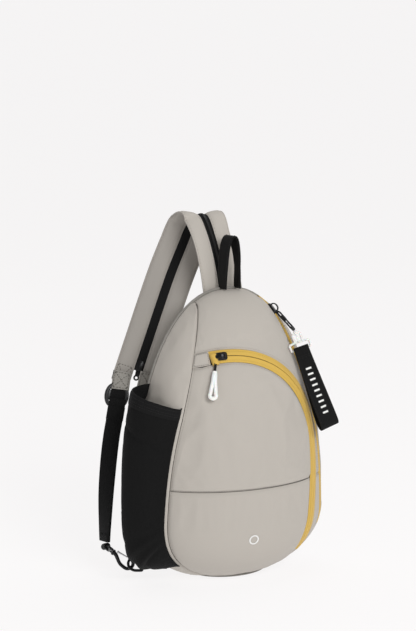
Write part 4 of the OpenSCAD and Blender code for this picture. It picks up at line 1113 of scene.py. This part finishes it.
# ---------------------------------------------------------------- snap hooks and rings
BEND_X, BEND_R, RING_ARC, RING_LEG, WIRE = 34.0, 6.5, 10.0, 7.0, 1.6
RING_REACH = RING_LEG + RING_ARC + 0.6
left_x, left_z = unit(0.777 * HANG_SIDE - 0.629 * UP), unit(0.629 * HANG_SIDE + 0.777 * UP)
left_eye = arr([-144, 78.5, 35.5])
ring_tilt = math.radians(40)
left_ring_z = unit(math.cos(ring_tilt) * UP + math.sin(ring_tilt) * HANG_N)
left_ring = left_eye + BEND_X * left_x + RING_REACH * HANG_SIDE
right_ring = arr([67, 53.2, 21])
right_ring_x, right_ring_z = unit([-0.75, 0.5, 0.44]), unit([0.43, 0.87, -0.25])
right_x, right_z = unit([0.87, -0.16, -0.46]), unit([0.14, 0.98, 0])
right_eye = right_ring + RING_REACH * right_ring_x - BEND_X * right_x
left_eye_z = left_z + 0.45 * np.cross(left_z, left_x)
arc = [(BEND_X + BEND_R * math.cos(a), BEND_R * math.sin(a)) for a in np.radians(np.arange(-90, 91, 15))]
spine = in_xz(smooth_path([(11, 0), (13.8, 0), (16.5, -0.7), (20, -2.6), (24, -4.9), (27.5, -6.2), (30.5, -BEND_R),
                           *arc, (BEND_X - 3.9, BEND_R)], 70))
wire_r = np.interp(np.arange(70), [0, 8, 20, 66, 69], [2.6, 2.4, 2.2, 2.1, 1.4])
hook = joined([bar(spine, [0, 1, 0], circles(wire_r)),
               bar(on_x(10.4, 10.7, 12.6, 13.4, 14), [0, 1, 0], circles((3.0, 3.6, 3.6, 3.0, 2.2), 20))])
eye_path = [(0, -8), (0, -11), (1.2, -11.8), (6.3, -11.8), (7.5, -11), (7.5, 0), (7.5, 11), (6.3, 11.8), (1.2, 11.8),
            (0, 11), (0, 8), (0, 0)]
eye_part = joined([bar(smooth_path(in_xy(eye_path), 90, cyclic=True), UP, circle(WIRE, 12), cyclic=True),
                   bar(on_x(7.4, 8.6, 9.9), [0, 1, 0], circles((2.0, 2.5, 2.5), 18))])
gate = joined([bar(in_xz([(16, 4.1), (18, 4.3), (22, 4.9), (26, 5.5), (29.4, 6.05)]), [0, 1, 0],
                   circles((1.3, 1.15, 0.95, 0.9, 0.8), 12)),
               bar([(16, y, 4.1) for y in (-2, -1.6, 0, 1.6, 2)], UP, circles((0.9, 1.3, 1.3, 1.3, 0.9), 14))])
a = np.radians(np.linspace(90, -90, 40))
leg = [(3.5, RING_ARC), (0.5, RING_ARC - 0.2), (0, RING_ARC - 0.9), (0, 5)]
ring_path = np.concatenate([np.stack([RING_LEG + RING_ARC * np.cos(a), RING_ARC * np.sin(a)], -1),
                            [*[(x, -y) for x, y in leg], (0, 0), *leg[::-1]]])
ring_part = bar(smooth_path(in_xy(ring_path), 110, cyclic=True), UP, circle(WIRE + 0.15, 12), cyclic=True)
a = np.radians(np.linspace(0, 340, 30))
fold_part = bar(in_xz(3.1 * np.stack([np.cos(a), np.sin(a)], -1)), [0, 1, 0], rounded(10, 0.9, 4), cyclic=True)


def tab_part(root):
    """Webbing tab folded round the ring's bar."""
    turn = [(2.75 * math.cos(k), 2.75 * math.sin(k)) for k in np.radians(np.linspace(100, -100, 18))]
    q = [(-root, 1.0), (-root * 0.5, 1.05), (-3.6, 1.3), *turn, (-3.6, -1.3), (-root * 0.5, -1.05), (-root, -1.0)]
    return bar(smooth_path(in_xz(q), 60), [0, 1, 0], rounded(7, 0.85, 4))


for side, eye_p, hook_x, hook_z, eye_z, ring_p, ring_x, ring_z, root in (
        ("left", left_eye, left_x, left_z, left_eye_z, left_ring, -HANG_SIDE, left_ring_z, 30.0),
        ("right", right_eye, right_x, right_z, right_z, right_ring, right_ring_x, right_ring_z, 13.0)):
    for part, body, node, mat, place in (
            (hook, "hook", "hook_body", BLACK_METAL, (eye_p, hook_x, hook_z)),
            (eye_part, "eye", "hook_eye", BLACK_METAL, (eye_p, hook_x, eye_z)),
            (gate, "gate", "hook_gate", STEEL, (eye_p, hook_x, hook_z)),
            (ring_part, "ring", "ring", BLACK_METAL, (ring_p, ring_x, ring_z))):
        add(f"{side}_{node}_metal", placed(part, *place), mat, f"{side}_{node}", f"{side}_{body}")
    add(f"{side}_ring_tab_webbing", placed(tab_part(root), ring_p, ring_x, ring_z), BLACK_WEB, f"{side}_ring_tab")
    add(f"{side}_web_fold", placed(fold_part, eye_p, hook_x, eye_z), BLACK_WEB, f"{side}_web_loop")

# ---------------------------------------------------------------- grab handle and emblem
HANDLE, HANDLE_HALF = arr([2, 33, 345.8]), 10.1
legs = [(-HANDLE_HALF, 0.2), (-HANDLE_HALF, 10), (-HANDLE_HALF + 0.6, 26), (-HANDLE_HALF + 2.0, 42), (-5.6, 55),
        (-2.0, 61.6), (2.0, 62.6), (5.8, 57), (HANDLE_HALF - 1.2, 42), (HANDLE_HALF, 26), (HANDLE_HALF, 10),
        (HANDLE_HALF, 0.2)]
path = smooth_path(in_xz(legs), 90) + HANDLE
turn = np.radians(np.interp(np.linspace(0, 1, 90), [0, 0.2, 0.5, 0.8, 1], [0, -12, -14, 8, 3]))
guide = np.stack([np.sin(turn), np.cos(turn), 0 * turn], -1)
add("grab_handle_webbing", bar(path, guide, rounded(9, 0.9, 4)), BLACK_WEB, "grab_handle", "handle")
p, _, w, n = path_frames(path, guide)
handle_lines = [(p + q * w + face * 0.9 * n, face * n) for q in (-7.4, 7.4) for face in (-1, 1)]
stitches("grab_handle_stitches", handle_lines, THREAD_BLACK, "handle")

near = arr([-13, 61])
surface, normals = OUT["lower_front_panel"]
k = np.unravel_index(np.argmin(((surface[..., ::2] - near) ** 2).sum(-1)), surface.shape[:2])
a, b = np.arange(64)[:, None] * 2 * np.pi / 64, np.linspace(0, 2 * np.pi, 13)[None, :-1]
r = 5.3 + 0.95 * np.cos(b)
rings = np.stack([r * np.cos(a), r * np.sin(a), 0.35 * np.sin(b) + 0 * a], -1)
add("emblem_ring", placed(sweep(rings, cyclic=True), surface[k] + 0.35 * normals[k], [1, 0, 0], normals[k]), PRINT,
    "emblem")

# ---------------------------------------------------------------- underside and linings
reach = math.sqrt(1 - ((WAIST_Z - REST_Z) / RIM_LOW) ** 2)
a = np.radians(np.arange(0, 181, 5))
sole = np.concatenate([np.stack([HALF_W * reach * 0.96 * np.cos(a), RIM_Y - BODY_D * reach * 1.06 * np.sin(a)], -1),
                       [(-HALF_W * reach * 0.9, RIM_Y + 5), (HALF_W * reach * 0.9, RIM_Y + 5)]])
levels = ((0.3, 0.05), (0.9, 0.05), (0.975, 0.25), (0.995, 0.9), (0.985, 1.6), (0.95, 2.0), (0.3, 2.0))
outline = resample(np.concatenate([sole, sole[:1]]), 140, cyclic=True)
add("base_cloth", sweep(stack_of(outline, sole.mean(0), levels)), TAUPE_IN, "base_panel")
for node in ("back_lining", "front_lining", "pocket_lining"):
    for material_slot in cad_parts[node].material_slots:
        material_slot.material = LINING

# ---------------------------------------------------------------- floor, light and camera
FLOOR_BEND, FLOOR_R, FLOOR_HALF = 2500, 1500, 16000
a = np.radians(np.linspace(0, 90, 12))
profile = [(-FLOOR_HALF, 0), (FLOOR_BEND, 0),
           *[(FLOOR_BEND + FLOOR_R * math.sin(k), FLOOR_R - FLOOR_R * math.cos(k)) for k in a],
           (FLOOR_BEND + FLOOR_R, 9000)]
floor = mesh_object("floor", [(x, y, z) for y, z in profile for x in (-FLOOR_HALF, FLOOR_HALF)],
                    [(2 * i, 2 * i + 1, 2 * i + 3, 2 * i + 2) for i in range(len(profile) - 1)])
mat, _, shader = new_material("floor_pale")
pale = (0.16, 0.158, 0.158, 1)
settings(shader, Base_Color=pale, Roughness=0.9, Specular_IOR_Level=0.0, Emission_Color=pale, Emission_Strength=5.2)
floor.data.materials.append(mat)
floor.data.polygons.foreach_set("use_smooth", [True] * len(floor.data.polygons))
floor.rotation_euler[2] = math.radians(PHOTO_YAW)


def aim(o, place, target):
    o.location = place
    o.rotation_euler = (Vector(target) - o.location).to_track_quat("-Z", "Y").to_euler()


for name, place, size, power in (("key", (-0.1, -2.3, 1.5), 1.5, 44), ("fill_left", (-2.4, -0.6, 1.0), 1.6, 2.5),
                                 ("top", (0.2, 0.3, 2.6), 1.8, 10)):
    data = bpy.data.lights.new(name, "AREA")
    data.shape, data.size, data.energy = "DISK", size, power
    lamp = bpy.data.objects.new(name, data)
    bpy.context.scene.collection.objects.link(lamp)
    aim(lamp, place, (-0.02, 0, 0.2))
world = bpy.data.worlds.new("studio")
bpy.context.scene.world = world
world.use_nodes = True
world.node_tree.nodes["Background"].inputs["Color"].default_value = (0.93, 0.93, 0.94, 1)
world.node_tree.nodes["Background"].inputs["Strength"].default_value = 0.2
bpy.context.scene.view_settings.view_transform = "Standard"

cam = bpy.data.cameras.new("camera")
cam.lens, cam.sensor_width, cam.sensor_height, cam.sensor_fit = 97.47, 36, 36, "AUTO"
cam.clip_end = 50
cam_o = bpy.data.objects.new("camera", cam)
bpy.context.scene.collection.objects.link(cam_o)
az, el, reach = math.radians(PHOTO_YAW), math.radians(PHOTO_TILT), 2.0
target = Vector((-0.046, 0, 0.321))
view = Vector((math.sin(az) * math.cos(el), -math.cos(az) * math.cos(el), math.sin(el)))
aim(cam_o, target + reach * view, target)
bpy.context.scene.camera = cam_o
